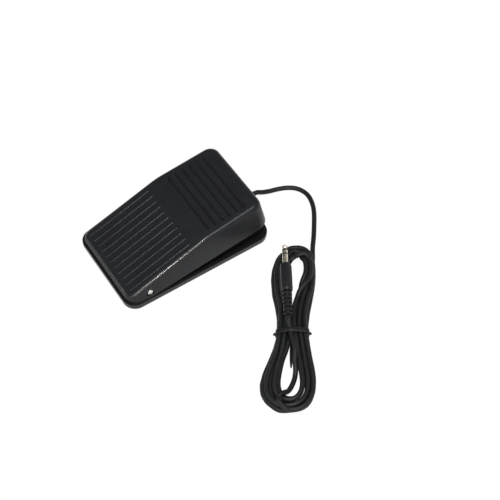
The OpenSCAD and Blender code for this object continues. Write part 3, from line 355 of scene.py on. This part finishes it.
def to_middle(x, k):
    """From each point to the middle between the points k away on either side."""
    mid = np.zeros_like(x)
    mid[k:-k] = (x[:-2 * k] + x[2 * k:]) / 2 - x[k:-k]
    return mid


# Settling of the cord
SPACING, CLEAR = 1.5, 3.02            # distance of its points, and least distance between centre lines
ROUNDS, LATE_FROM = 300, 0.75         # in the last quarter the goal pulls less and the line is smoothed more
PULL, LATE_PULL = 0.12, 0.25
EASE, LATE_EASE = 0.12, 1.6
SINK, HEIGHT_PULL = 0.03, 0.15        # fall a round, and the pull to the goal's height where one is kept
LEAD_LENGTH, TAIL_LENGTH = 98.7, 88.9  # of the cord's start and end that lie outside the hank
HELD_START, HELD_END = 2, 3           # points that stay where the CAD has them
LEAD_BLEND, BUNDLE_BEFORE, BUNDLE_AFTER = 8, 6, 3  # points past those lengths where their rules change
NOT_NEIGHBOURS = 9                    # points this far apart along the cord may touch
# A bend tighter than TIGHTEST is opened, and fully once it is TIGHT_OVER below
TIGHTEST, TIGHT_OVER, BEND_POINTS, UNBEND = 5.8, 2, 3, 0.2
UNDER_PLUG_U, UNDER_PLUG_V, UNDER_PLUG_HALF = (-46, -6), -4, 6
HELD_U = (-58, 47)                    # where the outline is kept
SWEEPS, PUSH, HOLD = 4, 1.4, 0.6      # passes a round, and how strongly they part strands and keep to the edges
LOOK_EVERY, LOOK_BEYOND = 10, 1.8     # how often, and how far beyond CLEAR, near strands are looked for
LOWEST = 1.55                         # of the centre line, over the floor


def pushed_apart(x, weight, first, second):
    """How far each point moves off the strands that come too near it."""
    gap = x[first] - x[second]
    d = np.sqrt((gap * gap).sum(1))
    hit = d < CLEAR
    a, b, gap, d = first[hit], second[hit], gap[hit], d[hit]
    push = 0.5 * (CLEAR - d)[:, None] * gap / np.maximum(d, 1e-6)[:, None]
    move, count = np.zeros_like(x), np.zeros(len(x))
    np.add.at(move, a, push)
    np.add.at(move, b, -push)
    np.add.at(count, a, 1)
    np.add.at(count, b, 1)
    return weight * move / np.maximum(count, 1)[:, None] * PUSH


def settled():
    """The cord drawn together towards LaidHank, with its strands lying on each other and on the floor."""
    x, goal = spaced(SPACING, whole_cord(CadHank), whole_cord(LaidHank))
    n = len(x)
    start, index = x.copy(), np.arange(n)
    lead_n, tail_n = int(LEAD_LENGTH / SPACING + 0.5), int(TAIL_LENGTH / SPACING + 0.5)
    weight = np.ones(n)
    weight[:HELD_START], weight[-HELD_END:] = 0, 0
    weight[HELD_START:2 * HELD_START] = np.arange(HELD_START) / HELD_START
    weight = weight[:, None]
    free = index < lead_n - LEAD_BLEND
    bundle = (index >= lead_n - BUNDLE_BEFORE) & (index < n - tail_n - BUNDLE_AFTER)
    ease = np.where(free, 0.0, EASE)[:, None]
    under_plug = ((x[:, 0] > UNDER_PLUG_U[0]) & (x[:, 0] < UNDER_PLUG_U[1])
                  & (abs(x[:, 1] - UNDER_PLUG_V) < UNDER_PLUG_HALF))
    heaped = (goal[:, 0] < LaidHank.heap_from) & (goal[:, 1] > 0) & bundle
    first, second = np.triu_indices(n, k=int(NOT_NEIGHBOURS / SPACING))
    for r in range(ROUNDS):
        late = r >= ROUNDS * LATE_FROM
        if r % LOOK_EVERY == 0:
            gap = x[first] - x[second]
            near = (gap * gap).sum(1) < (CLEAR + LOOK_BEYOND) ** 2
            near_first, near_second = first[near], second[near]
        x[:, :2] += weight * PULL * (LATE_PULL if late else 1) * (goal[:, :2] - x[:, :2])
        x[:, 2] += weight[:, 0] * np.where(heaped | free, HEIGHT_PULL * (goal[:, 2] - x[:, 2]),
                                           np.where(under_plug, 0.0, -SINK))
        tight = np.clip((TIGHTEST - bend_radius(x, BEND_POINTS)) / TIGHT_OVER, 0, 1)[:, None]
        x += weight * UNBEND * tight * to_middle(x, BEND_POINTS)
        x += weight * ease * to_middle(x, 1) * (LATE_EASE if late else 1)
        for _ in range(SWEEPS):
            x += pushed_apart(x, weight, near_first, near_second)
            left, right = (np.interp(x[:, 0], *edge.T) for edge in (LEFT_EDGE, RIGHT_EDGE))
            inside = np.clip(x[:, 1], -left, right)
            kept = bundle & (x[:, 0] > HELD_U[0]) & (x[:, 0] < HELD_U[1])
            x[kept, 1] += HOLD * (inside[kept] - x[kept, 1])
            x[:, 2] = np.maximum(x[:, 2], [LOWEST + lift(u) for u in x[:, 0]])
            x[:HELD_START], x[-HELD_END:] = start[:HELD_START], start[-HELD_END:]
    return x


# ---------------------------------------------------------------- meshes from rings of points

def tube_rings(points, radius, sides):
    """Rings of points round a line, turned as little as the line allows."""
    p = np.asarray(points, float)
    way = np.gradient(p, axis=0)
    way /= np.linalg.norm(way, axis=1)[:, None]
    side = np.cross(way[0], (0, 0, 1.0) if abs(way[0, 2]) < 0.9 else (1.0, 0, 0))
    turn = np.arange(sides) * 2 * math.pi / sides
    rings = []
    for at, along in zip(p, way):
        side = side - along * np.dot(side, along)
        side /= np.linalg.norm(side)
        up = np.cross(along, side)
        rings.append(at + radius * (np.outer(np.cos(turn), side) + np.outer(np.sin(turn), up)))
    return rings


def ring_mesh(bm, rings, closed):
    """Faces between rings of points in millimetres that follow each other."""
    rows = [[bm.verts.new(Vector(p) * MM) for p in ring] for ring in rings]
    n = len(rows[0])
    for i in range(len(rows) if closed else len(rows) - 1):
        a, b = rows[i], rows[(i + 1) % len(rows)]
        for k in range(n):
            bm.faces.new((a[k], a[(k + 1) % n], b[(k + 1) % n], b[k]))
    if not closed:
        bm.faces.new(rows[0])
        bm.faces.new(rows[-1][::-1])


def new_piece(name, bm, sharp=50):
    """An object of the mesh, smooth apart from edges over an angle in degrees."""
    bmesh.ops.recalc_face_normals(bm, faces=bm.faces)
    for f in bm.faces:
        f.smooth = True
    mesh = bpy.data.meshes.new(name)
    bm.to_mesh(mesh)
    bm.free()
    mesh.set_sharp_from_angle(angle=math.radians(sharp))
    obj = bpy.data.objects.new(name, mesh)
    bpy.context.scene.collection.objects.link(obj)
    return obj


CORD_SIDES = 16
hank_line = settled()
cord_line = from_hank(smooth(hank_line, 2))
cord_mesh = bmesh.new()
ring_mesh(cord_mesh, tube_rings(cord_line, CORD_D / 2, CORD_SIDES), False)
cord = new_piece("cord", cord_mesh)
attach(cord, "base")
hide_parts("cord_lead", "cord_hank", "cord_tail")


# ---------------------------------------------------------------- materials

def new_material(name):
    """An empty shader tree, and object coordinates for its patterns."""
    m = bpy.data.materials.new(name)
    m.use_nodes = True
    tree = m.node_tree
    tree.nodes.clear()
    out = tree.nodes.new("ShaderNodeOutputMaterial")
    shader = tree.nodes.new("ShaderNodeBsdfPrincipled")
    tree.links.new(shader.outputs[0], out.inputs[0])
    coords = tree.nodes.new("ShaderNodeTexCoord")
    return m, tree, shader, coords.outputs["Object"]


def math_node(tree, operation, *values):
    """Result of a Math node whose inputs are sockets or plain numbers."""
    n = tree.nodes.new("ShaderNodeMath")
    n.operation = operation
    for socket, value in zip(n.inputs, values):
        if isinstance(value, float):
            socket.default_value = value
        else:
            tree.links.new(value, socket)
    return n.outputs[0]


def noise(tree, coords, scale, detail=3.0, rough=0.5, stretch=None):
    n = tree.nodes.new("ShaderNodeTexNoise")
    n.inputs["Scale"].default_value = scale
    n.inputs["Detail"].default_value = detail
    n.inputs["Roughness"].default_value = rough
    if stretch:
        mapping = tree.nodes.new("ShaderNodeMapping")
        mapping.inputs["Scale"].default_value = stretch
        tree.links.new(coords, mapping.inputs["Vector"])
        coords = mapping.outputs[0]
    tree.links.new(coords, n.inputs["Vector"])
    return n.outputs["Fac"]


def ramp(tree, fac, stops):
    """Colour that changes with a factor, through stops of a place and a colour."""
    r = tree.nodes.new("ShaderNodeValToRGB")
    while len(r.color_ramp.elements) < len(stops):
        r.color_ramp.elements.new(0.5)
    for e, (pos, colour) in zip(r.color_ramp.elements, stops):
        e.position = pos
        e.color = (*colour, 1.0)
    tree.links.new(fac, r.inputs[0])
    return r.outputs[0]


def span(tree, fac, low, high, from_low=0.3, from_high=0.7):
    """The factor's range from_low to from_high turned into low to high."""
    n = tree.nodes.new("ShaderNodeMapRange")
    n.inputs["From Min"].default_value = from_low
    n.inputs["From Max"].default_value = from_high
    n.inputs["To Min"].default_value = low
    n.inputs["To Max"].default_value = high
    tree.links.new(fac, n.inputs["Value"])
    return n.outputs[0]


def bump(tree, shader, height, strength, distance):
    n = tree.nodes.new("ShaderNodeBump")
    n.inputs["Strength"].default_value = strength
    n.inputs["Distance"].default_value = distance
    tree.links.new(height, n.inputs["Height"])
    tree.links.new(n.outputs[0], shader.inputs["Normal"])


def shade(colour, factor):
    return tuple(c * factor for c in colour)


PATCH_SCALE, GLOSS_SCALE = 90, 240     # noise that varies a plastic's colour and its gloss
OPEN_FROM, OPEN_TO = 0.62, 0.98        # share of open sky over which the painted shade in a hollow fades out and its gloss comes back
POLISH_ROUGH = 0.16


def mottled(tree, fac, colour, spread):
    return ramp(tree, fac, [(0.3, shade(colour, 1 - spread)), (0.7, shade(colour, 1 + spread))])


def plastic(name, colour, rough=0.42, spread=0.12, grain=2600, depth=0.00002, strength=0.25, specular=0.5,
            coat=0.0, coat_rough=0.2, vary=0.05, painted_shade_reach=0.0, polished=None):
    """Moulded plastic with a fine grain. Where a shade distance is given, hollows narrower than it get painted
    shade: ambient occlusion darkens their colour and takes out their gloss.
    """
    m, tree, shader, coords = new_material(name)
    tint = mottled(tree, noise(tree, coords, PATCH_SCALE, 4), colour, spread)
    if painted_shade_reach:
        # Painted shade: ambient occlusion darkens the colour in hollows and grooves, and turns their gloss
        # down.
        near = tree.nodes.new("ShaderNodeAmbientOcclusion")
        near.samples = 8
        near.only_local = True
        near.inputs["Distance"].default_value = painted_shade_reach
        tree.links.new(tint, near.inputs["Color"])
        tint = near.outputs["Color"]
        tree.links.new(span(tree, near.outputs["AO"], 0.0, specular, OPEN_FROM, OPEN_TO),
                       shader.inputs["Specular IOR Level"])
    else:
        shader.inputs["Specular IOR Level"].default_value = specular
    tree.links.new(tint, shader.inputs["Base Color"])
    gloss = noise(tree, coords, GLOSS_SCALE, 3)
    tree.links.new(span(tree, gloss, rough - vary, rough + vary), shader.inputs["Roughness"])
    bump(tree, shader, noise(tree, coords, grain, 2), strength, depth)
    if coat:
        shader.inputs["Coat Weight"].default_value = coat
        shader.inputs["Coat Roughness"].default_value = coat_rough
    if polished:
        tree.links.new(rounded_sides(tree, *polished), shader.inputs["Coat Weight"])
        shader.inputs["Coat Roughness"].default_value = POLISH_ROUGH
    return m


def rounded_sides(tree, out, back, upright=0.5):
    """1 on rounded edges further out than `out` metres, in front of `back` and facing up, else 0."""
    coords = tree.nodes.new("ShaderNodeTexCoord")
    place, way = (tree.nodes.new("ShaderNodeSeparateXYZ") for _ in range(2))
    tree.links.new(coords.outputs["Object"], place.inputs[0])
    tree.links.new(coords.outputs["Normal"], way.inputs[0])
    aside = math_node(tree, "ABSOLUTE", place.outputs["X"])
    share = span(tree, aside, 0.0, 1.0, out - 0.0002, out + 0.0002)
    for fac in (span(tree, place.outputs["Y"], 1.0, 0.0, back - 0.004, back + 0.004),
                span(tree, way.outputs["Z"], 0.0, 1.0, upright - 0.1, upright + 0.1)):
        share = math_node(tree, "MULTIPLY", share, fac)
    return share


def metal(name, colour, rough=0.25, stretch=(1, 1, 1), spread=0.08, grain=900):
    """Metal with fine drawn or brushed lines."""
    m, tree, shader, coords = new_material(name)
    lines = noise(tree, coords, grain, 3, 0.6, stretch)
    tree.links.new(mottled(tree, lines, colour, spread), shader.inputs["Base Color"])
    tree.links.new(span(tree, lines, rough * 0.8, rough * 1.25), shader.inputs["Roughness"])
    bump(tree, shader, lines, 0.15, 0.00001)
    shader.inputs["Metallic"].default_value = 1.0
    return m


PLASTICS = {
    # The treadle's grooves and hollows get painted shade by ambient occlusion.
    "treadle_black": dict(colour=(0.0108, 0.0114, 0.0126), rough=0.33, spread=0.08, grain=1100, depth=0.00008,
                          strength=0.5, specular=0.26, painted_shade_reach=0.0025, polished=(0.0264, 0.004)),
    "tray_black": dict(colour=(0.0080, 0.0084, 0.0086), rough=0.21, spread=0.1, grain=2200, depth=0.00001,
                       strength=0.15, specular=0.24),
    "cover_black": dict(colour=(0.009, 0.0095, 0.010), rough=0.5, spread=0.12, grain=1500, depth=0.00004,
                        strength=0.35, specular=0.4),
    "foot_rubber": dict(colour=(0.018, 0.018, 0.018), rough=0.75, spread=0.2, grain=1200, depth=0.00005,
                        strength=0.4, specular=0.3),
    "board_green": dict(colour=(0.025, 0.13, 0.045), rough=0.3, spread=0.2, grain=700, depth=0.00003,
                        strength=0.3, coat=0.4),
    "switch_black": dict(colour=(0.012, 0.012, 0.013), rough=0.4, spread=0.1),
    "switch_red": dict(colour=(0.32, 0.014, 0.018), rough=0.35, spread=0.08),
    "plunger_white": dict(colour=(0.72, 0.72, 0.68), rough=0.35, spread=0.04),
    "lead_red": dict(colour=(0.4, 0.025, 0.02), rough=0.32, spread=0.08),
    "lead_white": dict(colour=(0.7, 0.68, 0.62), rough=0.32, spread=0.04),
    "lead_black": dict(colour=(0.015, 0.015, 0.016), rough=0.32, spread=0.1),
    "cord_black": dict(colour=(0.0082, 0.0086, 0.0088), rough=0.5, spread=0.14, grain=1400, depth=0.00003,
                       strength=0.3, specular=0.24),
    "relief_black": dict(colour=(0.009, 0.0095, 0.0105), rough=0.46, grain=1400, depth=0.00003, strength=0.3,
                         specular=0.3),
    "tie_black": dict(colour=(0.0075, 0.0078, 0.0084), rough=0.45, spread=0.15, grain=1200, depth=0.00004,
                      strength=0.4, specular=0.28),
    "grip_black": dict(colour=(0.0092, 0.0096, 0.0108), spread=0.08, grain=2000, strength=0.2, specular=0.3),
    "insulator_black": dict(colour=(0.008, 0.008, 0.009), rough=0.3, spread=0.1),
}
METALS = {
    "screw_steel": dict(colour=(0.56, 0.56, 0.57), rough=0.28),
    "pin_steel": dict(colour=(0.86, 0.84, 0.79), rough=0.3),
    "spring_steel": dict(colour=(0.5, 0.51, 0.53), rough=0.3, stretch=(1, 1, 6)),
    "lever_steel": dict(colour=(0.6, 0.6, 0.59), rough=0.22, stretch=(1, 8, 1)),
    "contact_brass": dict(colour=(0.72, 0.53, 0.25), stretch=(1, 1, 6)),
    "solder_grey": dict(colour=(0.5, 0.51, 0.52), rough=0.3),
    "jack_metal": dict(colour=(0.95, 0.89, 0.74), rough=0.3),
}
MATERIALS = {name: plastic(name, **look) for name, look in PLASTICS.items()}
MATERIALS.update({name: metal(name, **look) for name, look in METALS.items()})
SLOTS = {s["node"]: s["material_slot"] for s in frame["record"]["subparts"]}


def paint(obj, slot):
    obj.data.materials.clear()
    obj.data.materials.append(MATERIALS[slot])


def stand_in(obj, node):
    """The piece rides with the CAD node's body, stands for the node and is painted as the record says."""
    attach(obj, frame["nodes"][node]["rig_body"])
    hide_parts(node)
    paint(obj, SLOTS[node])


# ---------------------------------------------------------------- CAD nodes with softened edges

WELD = 2e-6                  # metres
FLAT_ANGLE = 0.6             # degrees under which faces count as one flat
SHARP_ANGLE, LEAD_SHARP_ANGLE = 32, 75


def dressed(node, bevel_mm=0.0, angle=SHARP_ANGLE, rounded=False):
    """A welded, smooth-shaded copy of a CAD node with softened edges, standing for it."""
    mesh = frame["nodes"][node].data.copy()
    mesh.name = node + "_skin"
    bm = bmesh.new()
    bm.from_mesh(mesh)
    bmesh.ops.remove_doubles(bm, verts=bm.verts, dist=WELD)
    bmesh.ops.dissolve_limit(bm, angle_limit=math.radians(FLAT_ANGLE), verts=bm.verts, edges=bm.edges)
    for f in bm.faces:
        f.smooth = True
    for e in bm.edges:
        e.smooth = e.is_manifold and e.calc_face_angle(0.0) < math.radians(angle)
    bm.to_mesh(mesh)
    bm.free()
    if "custom_normal" in mesh.attributes:
        mesh.attributes.remove(mesh.attributes["custom_normal"])
    obj = bpy.data.objects.new(node + "_skin", mesh)
    bpy.context.scene.collection.objects.link(obj)
    if bevel_mm:
        b = obj.modifiers.new("edges", "BEVEL")
        b.width = bevel_mm * MM
        b.segments = 2
        b.limit_method = "ANGLE"
        b.angle_limit = math.radians(angle)
        b.harden_normals = True
        b.use_clamp_overlap = True
    if rounded:
        r = obj.modifiers.new("rounded", "SUBSURF")
        r.levels = r.render_levels = 2
    stand_in(obj, node)
    return obj


# Width of each node's softened edges in millimetres
EDGES = {"treadle": 0.12, "base_tray": 0.35, "bottom_cover": 0.12, "plug_grip": 0.0, "plug_relief": 0.12,
         "hinge_pin": 0.08, "foot_pads": 0.3, "cover_screws": 0.06, "cord_clamp": 0.15, "clamp_screws": 0.05,
         "board_screws": 0.05, "strain_relief": 0.1, "jack_sleeve": 0.06, "jack_ring": 0.1,
         "jack_tip": 0.04, "jack_insulators": 0.0, "lead_a": 0.0, "lead_b": 0.0, "lead_c": 0.0,
         "cord_inside": 0.0, "solder_joints": 0.0}
INNER_LEADS = ("lead_a", "lead_b", "lead_c")
for node, bevel in EDGES.items():
    is_lead = node in INNER_LEADS
    dressed(node, bevel, LEAD_SHARP_ANGLE if is_lead else SHARP_ANGLE, rounded=is_lead)


def make_spring(turns=7, wire=1.0, radius=5.6, steps=32, sides=10):
    """The return spring along the CAD's own path in finer steps."""
    low, high = (Vector(frame["nodes"]["return_spring"].bound_box[i]) for i in (0, 6))
    a = np.linspace(0, turns * 2 * math.pi, turns * steps + 1)
    z = np.interp(a, (0, a[-1]), (low.z / MM + wire / 2, high.z / MM - wire / 2))
    middle = (low.y + high.y) / 2 / MM
    path = np.column_stack((radius * np.cos(a), middle + radius * np.sin(a), z))
    bm = bmesh.new()
    ring_mesh(bm, tube_rings(path, wire / 2, sides), False)
    obj = new_piece("spring_coil", bm)
    stand_in(obj, "return_spring")
    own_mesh(obj)


make_spring()
for node, obj in frame["nodes"].items():
    paint(obj, SLOTS[node])
paint(cord, "cord_black")


# ---------------------------------------------------------------- tie round the hank's waist

TIE_U, TIE_TILT = -0.6, -0.09        # where it lies along the hank, and how it slants
TIE_W, TIE_GAP, TIE_PINCH = 3.0, 0.06, 0.16
TIE_POINTS = 96
NEAR_WAIST_U, NEAR_WAIST_V = 5, 20
TWIST_TURNS, TWIST_R, TWIST_WIRE_R, TWIST_Z = 2.2, 0.5, 0.45, 3.4
TWIST_FROM, TWIST_LENGTH, TWIST_POINTS, TWIST_SIDES = 0.35, 1.25, 30, 8
END_FROM, END_TO, END_Z, END_POINTS = 0.6, 20.0, 0.06, 18
END_SECTION = [(-0.8, 0.12), (-0.6, 0), (0.6, 0), (0.8, 0.12), (0.8, 0.34), (0.6, 0.46), (-0.6, 0.46),
               (-0.8, 0.34)]


def half_hull(points):
    out = []
    for p in points:
        while len(out) > 1 and ((out[-1][0] - out[-2][0]) * (p[1] - out[-2][1])
                                - (out[-1][1] - out[-2][1]) * (p[0] - out[-2][0])) <= 0:
            out.pop()
        out.append(p)
    return out[:-1]


def hull(points):
    """Convex outline of points in a plane."""
    pts = sorted(set(map(tuple, points)))
    return np.array(half_hull(pts) + half_hull(pts[::-1]))


def tie_outline(grow):
    """Outline across the hank, round every strand that passes the tie, as evenly spaced points."""
    line = hank_line
    u = line[:, 0] - TIE_U - TIE_TILT * line[:, 1]
    near = (abs(line[:-1, 1]) < NEAR_WAIST_V) & (abs(line[:-1, 0]) < NEAR_WAIST_U)
    cross = np.nonzero((u[:-1] * u[1:] <= 0) & near)[0]
    share = (u[cross] / (u[cross] - u[cross + 1]))[:, None]
    centres = (line[cross] + (line[cross + 1] - line[cross]) * share)[:, 1:]
    angles = np.arange(0, 2 * math.pi, math.pi / 16)
    r = CORD_D / 2 + grow
    ring = hull([(round(c[0] + r * math.cos(a), 4), round(c[1] + r * math.sin(a), 4))
                 for c in centres for a in angles])
    loop = np.vstack((ring, ring[:1]))
    s = np.r_[0, np.cumsum(np.linalg.norm(np.diff(loop, axis=0), axis=1))]
    q = np.linspace(0, s[-1], TIE_POINTS + 1)[:-1]
    return np.column_stack([np.interp(q, s, loop[:, k]) for k in range(2)])


def tape_section(w, t):
    """Rounded flat section, a along the hank and b outwards."""
    return [(-w / 2, 0.2 * t), (-w / 2 + 0.15, 0), (w / 2 - 0.15, 0), (w / 2, 0.2 * t), (w / 2, 0.75 * t),
            (w / 2 - 0.25, t), (-w / 2 + 0.25, t), (-w / 2, 0.75 * t)]


def wrap(bm, loop):
    """The tape round the waist, a little narrower where it is pulled over the strands' sides."""
    out = np.roll(loop, -1, axis=0) - np.roll(loop, 1, axis=0)
    out = np.column_stack((out[:, 1], -out[:, 0])) / np.linalg.norm(out, axis=1)[:, None]
    rings = []
    for i, ((v, z), (nv, nz)) in enumerate(zip(loop, out)):
        narrow = 1 - TIE_PINCH * math.cos(4 * math.pi * i / len(loop)) ** 8
        u = TIE_U + TIE_TILT * v
        rings.append([(u + a * narrow, v + nv * b, z + nz * b) for a, b in tape_section(TIE_W, TIE_T)])
    ring_mesh(bm, [from_hank(r) for r in rings], True)


def twist(bm, edge, side):
    """The short twist that stands out at one side of the waist."""
    turns = np.linspace(0, TWIST_TURNS * 2 * math.pi, TWIST_POINTS)
    rise = turns / turns[-1]
    middle = np.column_stack((TIE_U + TIE_TILT * edge + TWIST_R * np.cos(turns),
                              edge + side * (TWIST_FROM + TWIST_LENGTH * rise),
                              np.full(TWIST_POINTS, TWIST_Z) + TWIST_R * np.sin(turns)))
    ring_mesh(bm, tube_rings(from_hank(middle), TWIST_WIRE_R, TWIST_SIDES), False)


def loose_end(bm):
    """The tape's end, which lies along the hank's middle on the floor."""
    along = np.linspace(0, 1, END_POINTS)
    middle = np.column_stack((END_FROM + (END_TO - END_FROM) * along, -0.25 * np.sin(3.0 * along),
                              np.full(END_POINTS, END_Z)))
    rings = []
    for (u, v, z), q in zip(middle, along):
        w = 0.5 + 0.75 * math.sin(math.pi * min(1, 0.25 + 0.75 * q)) ** 0.7
        rings.append([(u, v + a * w, z + b) for a, b in END_SECTION])
    ring_mesh(bm, [from_hank(r) for r in rings], False)


def make_tie():
    bm = bmesh.new()
    loop = tie_outline(TIE_GAP)
    wrap(bm, loop)
    for side in (-1, 1):
        twist(bm, loop[np.argmax(loop[:, 0] * side)][0], side)
    loose_end(bm)
    stand_in(new_piece("tie_band", bm), "hank_tie")


make_tie()


# ---------------------------------------------------------------- floor, backdrop and light

FLOOR_RADIUS, FLOOR_TINT = 3.0, (0.82, 0.82, 0.82, 1)
FLOOR_GLOW, FLOOR_GLOW_SHARE = 1.03, 0.9
ROOM_BY_HEIGHT = (0.95, 0.16, 0.12, 0.75)     # level at the horizon and overhead, between these heights
ROOM_BY_SIDE = (0.4, 1.0, -1.0, -0.2)         # share of it from the left, and from where on it is full
ROOM_LIGHT = 0.5
WHITE = (1, 1, 1, 1)

# Name, place, where it points (metres), side (metres) and power (watts)
LAMPS = (
    ("overhead", (0.17, 0.05, 0.86), (0.02, 0.0, 0.0), 0.16, 2.6),
    ("edge_glint", (0.34, -0.13, 0.83), (0.02, 0.0, 0.0), 0.07, 3.3),
    ("toe_glint", (-0.41, -0.74, 0.34), (0.02, -0.03, 0.0), 0.12, 1.4),
    ("ramp_glint", (0.61, -0.28, 0.65), (0.03, -0.02, 0.0), 0.05, 1.2),
    ("fill", (0.75, -0.35, 0.55), (0.03, 0.0, 0.0), 0.7, 2.0),
)


def add_node(tree, kind, **inputs):
    n = tree.nodes.new(kind)
    for key, value in inputs.items():
        n.inputs[key].default_value = value
    return n


def mixed(tree, fac, first, second):
    mix = tree.nodes.new("ShaderNodeMixShader")
    for socket, source in zip(mix.inputs, (fac, first.outputs[0], second.outputs[0])):
        tree.links.new(source, socket)
    return mix


def seen_directly(tree):
    """1 on rays from the camera; and 1 on those, in reflections and through glass."""
    rays = tree.nodes.new("ShaderNodeLightPath").outputs
    total = rays["Is Camera Ray"]
    for name in ("Is Glossy Ray", "Is Transmission Ray"):
        total = math_node(tree, "MAXIMUM", total, rays[name])
    return rays["Is Camera Ray"], total


def make_floor():
    """A pale floor that takes shadows and is nearly white wherever it is seen."""
    white = bpy.data.materials.new("floor_white")
    white.use_nodes = True
    t = white.node_tree
    t.nodes.clear()
    lit = add_node(t, "ShaderNodeBsdfDiffuse", Color=FLOOR_TINT)
    glow = add_node(t, "ShaderNodeEmission", Color=WHITE, Strength=FLOOR_GLOW)
    share = math_node(t, "MULTIPLY", seen_directly(t)[1], FLOOR_GLOW_SHARE)
    out = t.nodes.new("ShaderNodeOutputMaterial")
    t.links.new(mixed(t, share, lit, glow).outputs[0], out.inputs[0])
    bpy.ops.mesh.primitive_circle_add(vertices=64, radius=FLOOR_RADIUS, fill_type="NGON", location=(0, 0, 0))
    floor = bpy.context.active_object
    floor.name = "floor"
    floor.data.materials.append(white)


def make_world():
    """White to the camera; a pale studio with a darker ceiling in reflections; even light on matt pieces."""
    world = bpy.data.worlds.new("world")
    bpy.context.scene.world = world
    world.use_nodes = True
    t = world.node_tree
    t.nodes.clear()
    coords = t.nodes.new("ShaderNodeTexCoord")
    split = t.nodes.new("ShaderNodeSeparateXYZ")
    t.links.new(coords.outputs["Generated"], split.inputs[0])
    height = span(t, split.outputs["Z"], *ROOM_BY_HEIGHT)
    side = span(t, split.outputs["X"], *ROOM_BY_SIDE)
    room = t.nodes.new("ShaderNodeBackground")
    t.links.new(math_node(t, "MULTIPLY", height, side), room.inputs["Strength"])
    soft = add_node(t, "ShaderNodeBackground", Strength=ROOM_LIGHT)
    bright = add_node(t, "ShaderNodeBackground", Color=WHITE, Strength=1.0)
    camera_ray, direct = seen_directly(t)
    out = t.nodes.new("ShaderNodeOutputWorld")
    t.links.new(mixed(t, camera_ray, mixed(t, direct, soft, room), bright).outputs[0], out.inputs[0])


def make_lamp(name, place, target, size, power):
    data = bpy.data.lights.new(name, "AREA")
    data.shape, data.size, data.energy = "SQUARE", size, power
    obj = bpy.data.objects.new(name, data)
    way = (Vector(target) - Vector(place)).normalized()
    obj.matrix_world = Matrix.Translation(place) @ way.to_track_quat("-Z", "Y").to_matrix().to_4x4()
    bpy.context.scene.collection.objects.link(obj)


make_floor()
make_world()
for lamp in LAMPS:
    make_lamp(*lamp)

bpy.context.view_layer.update()
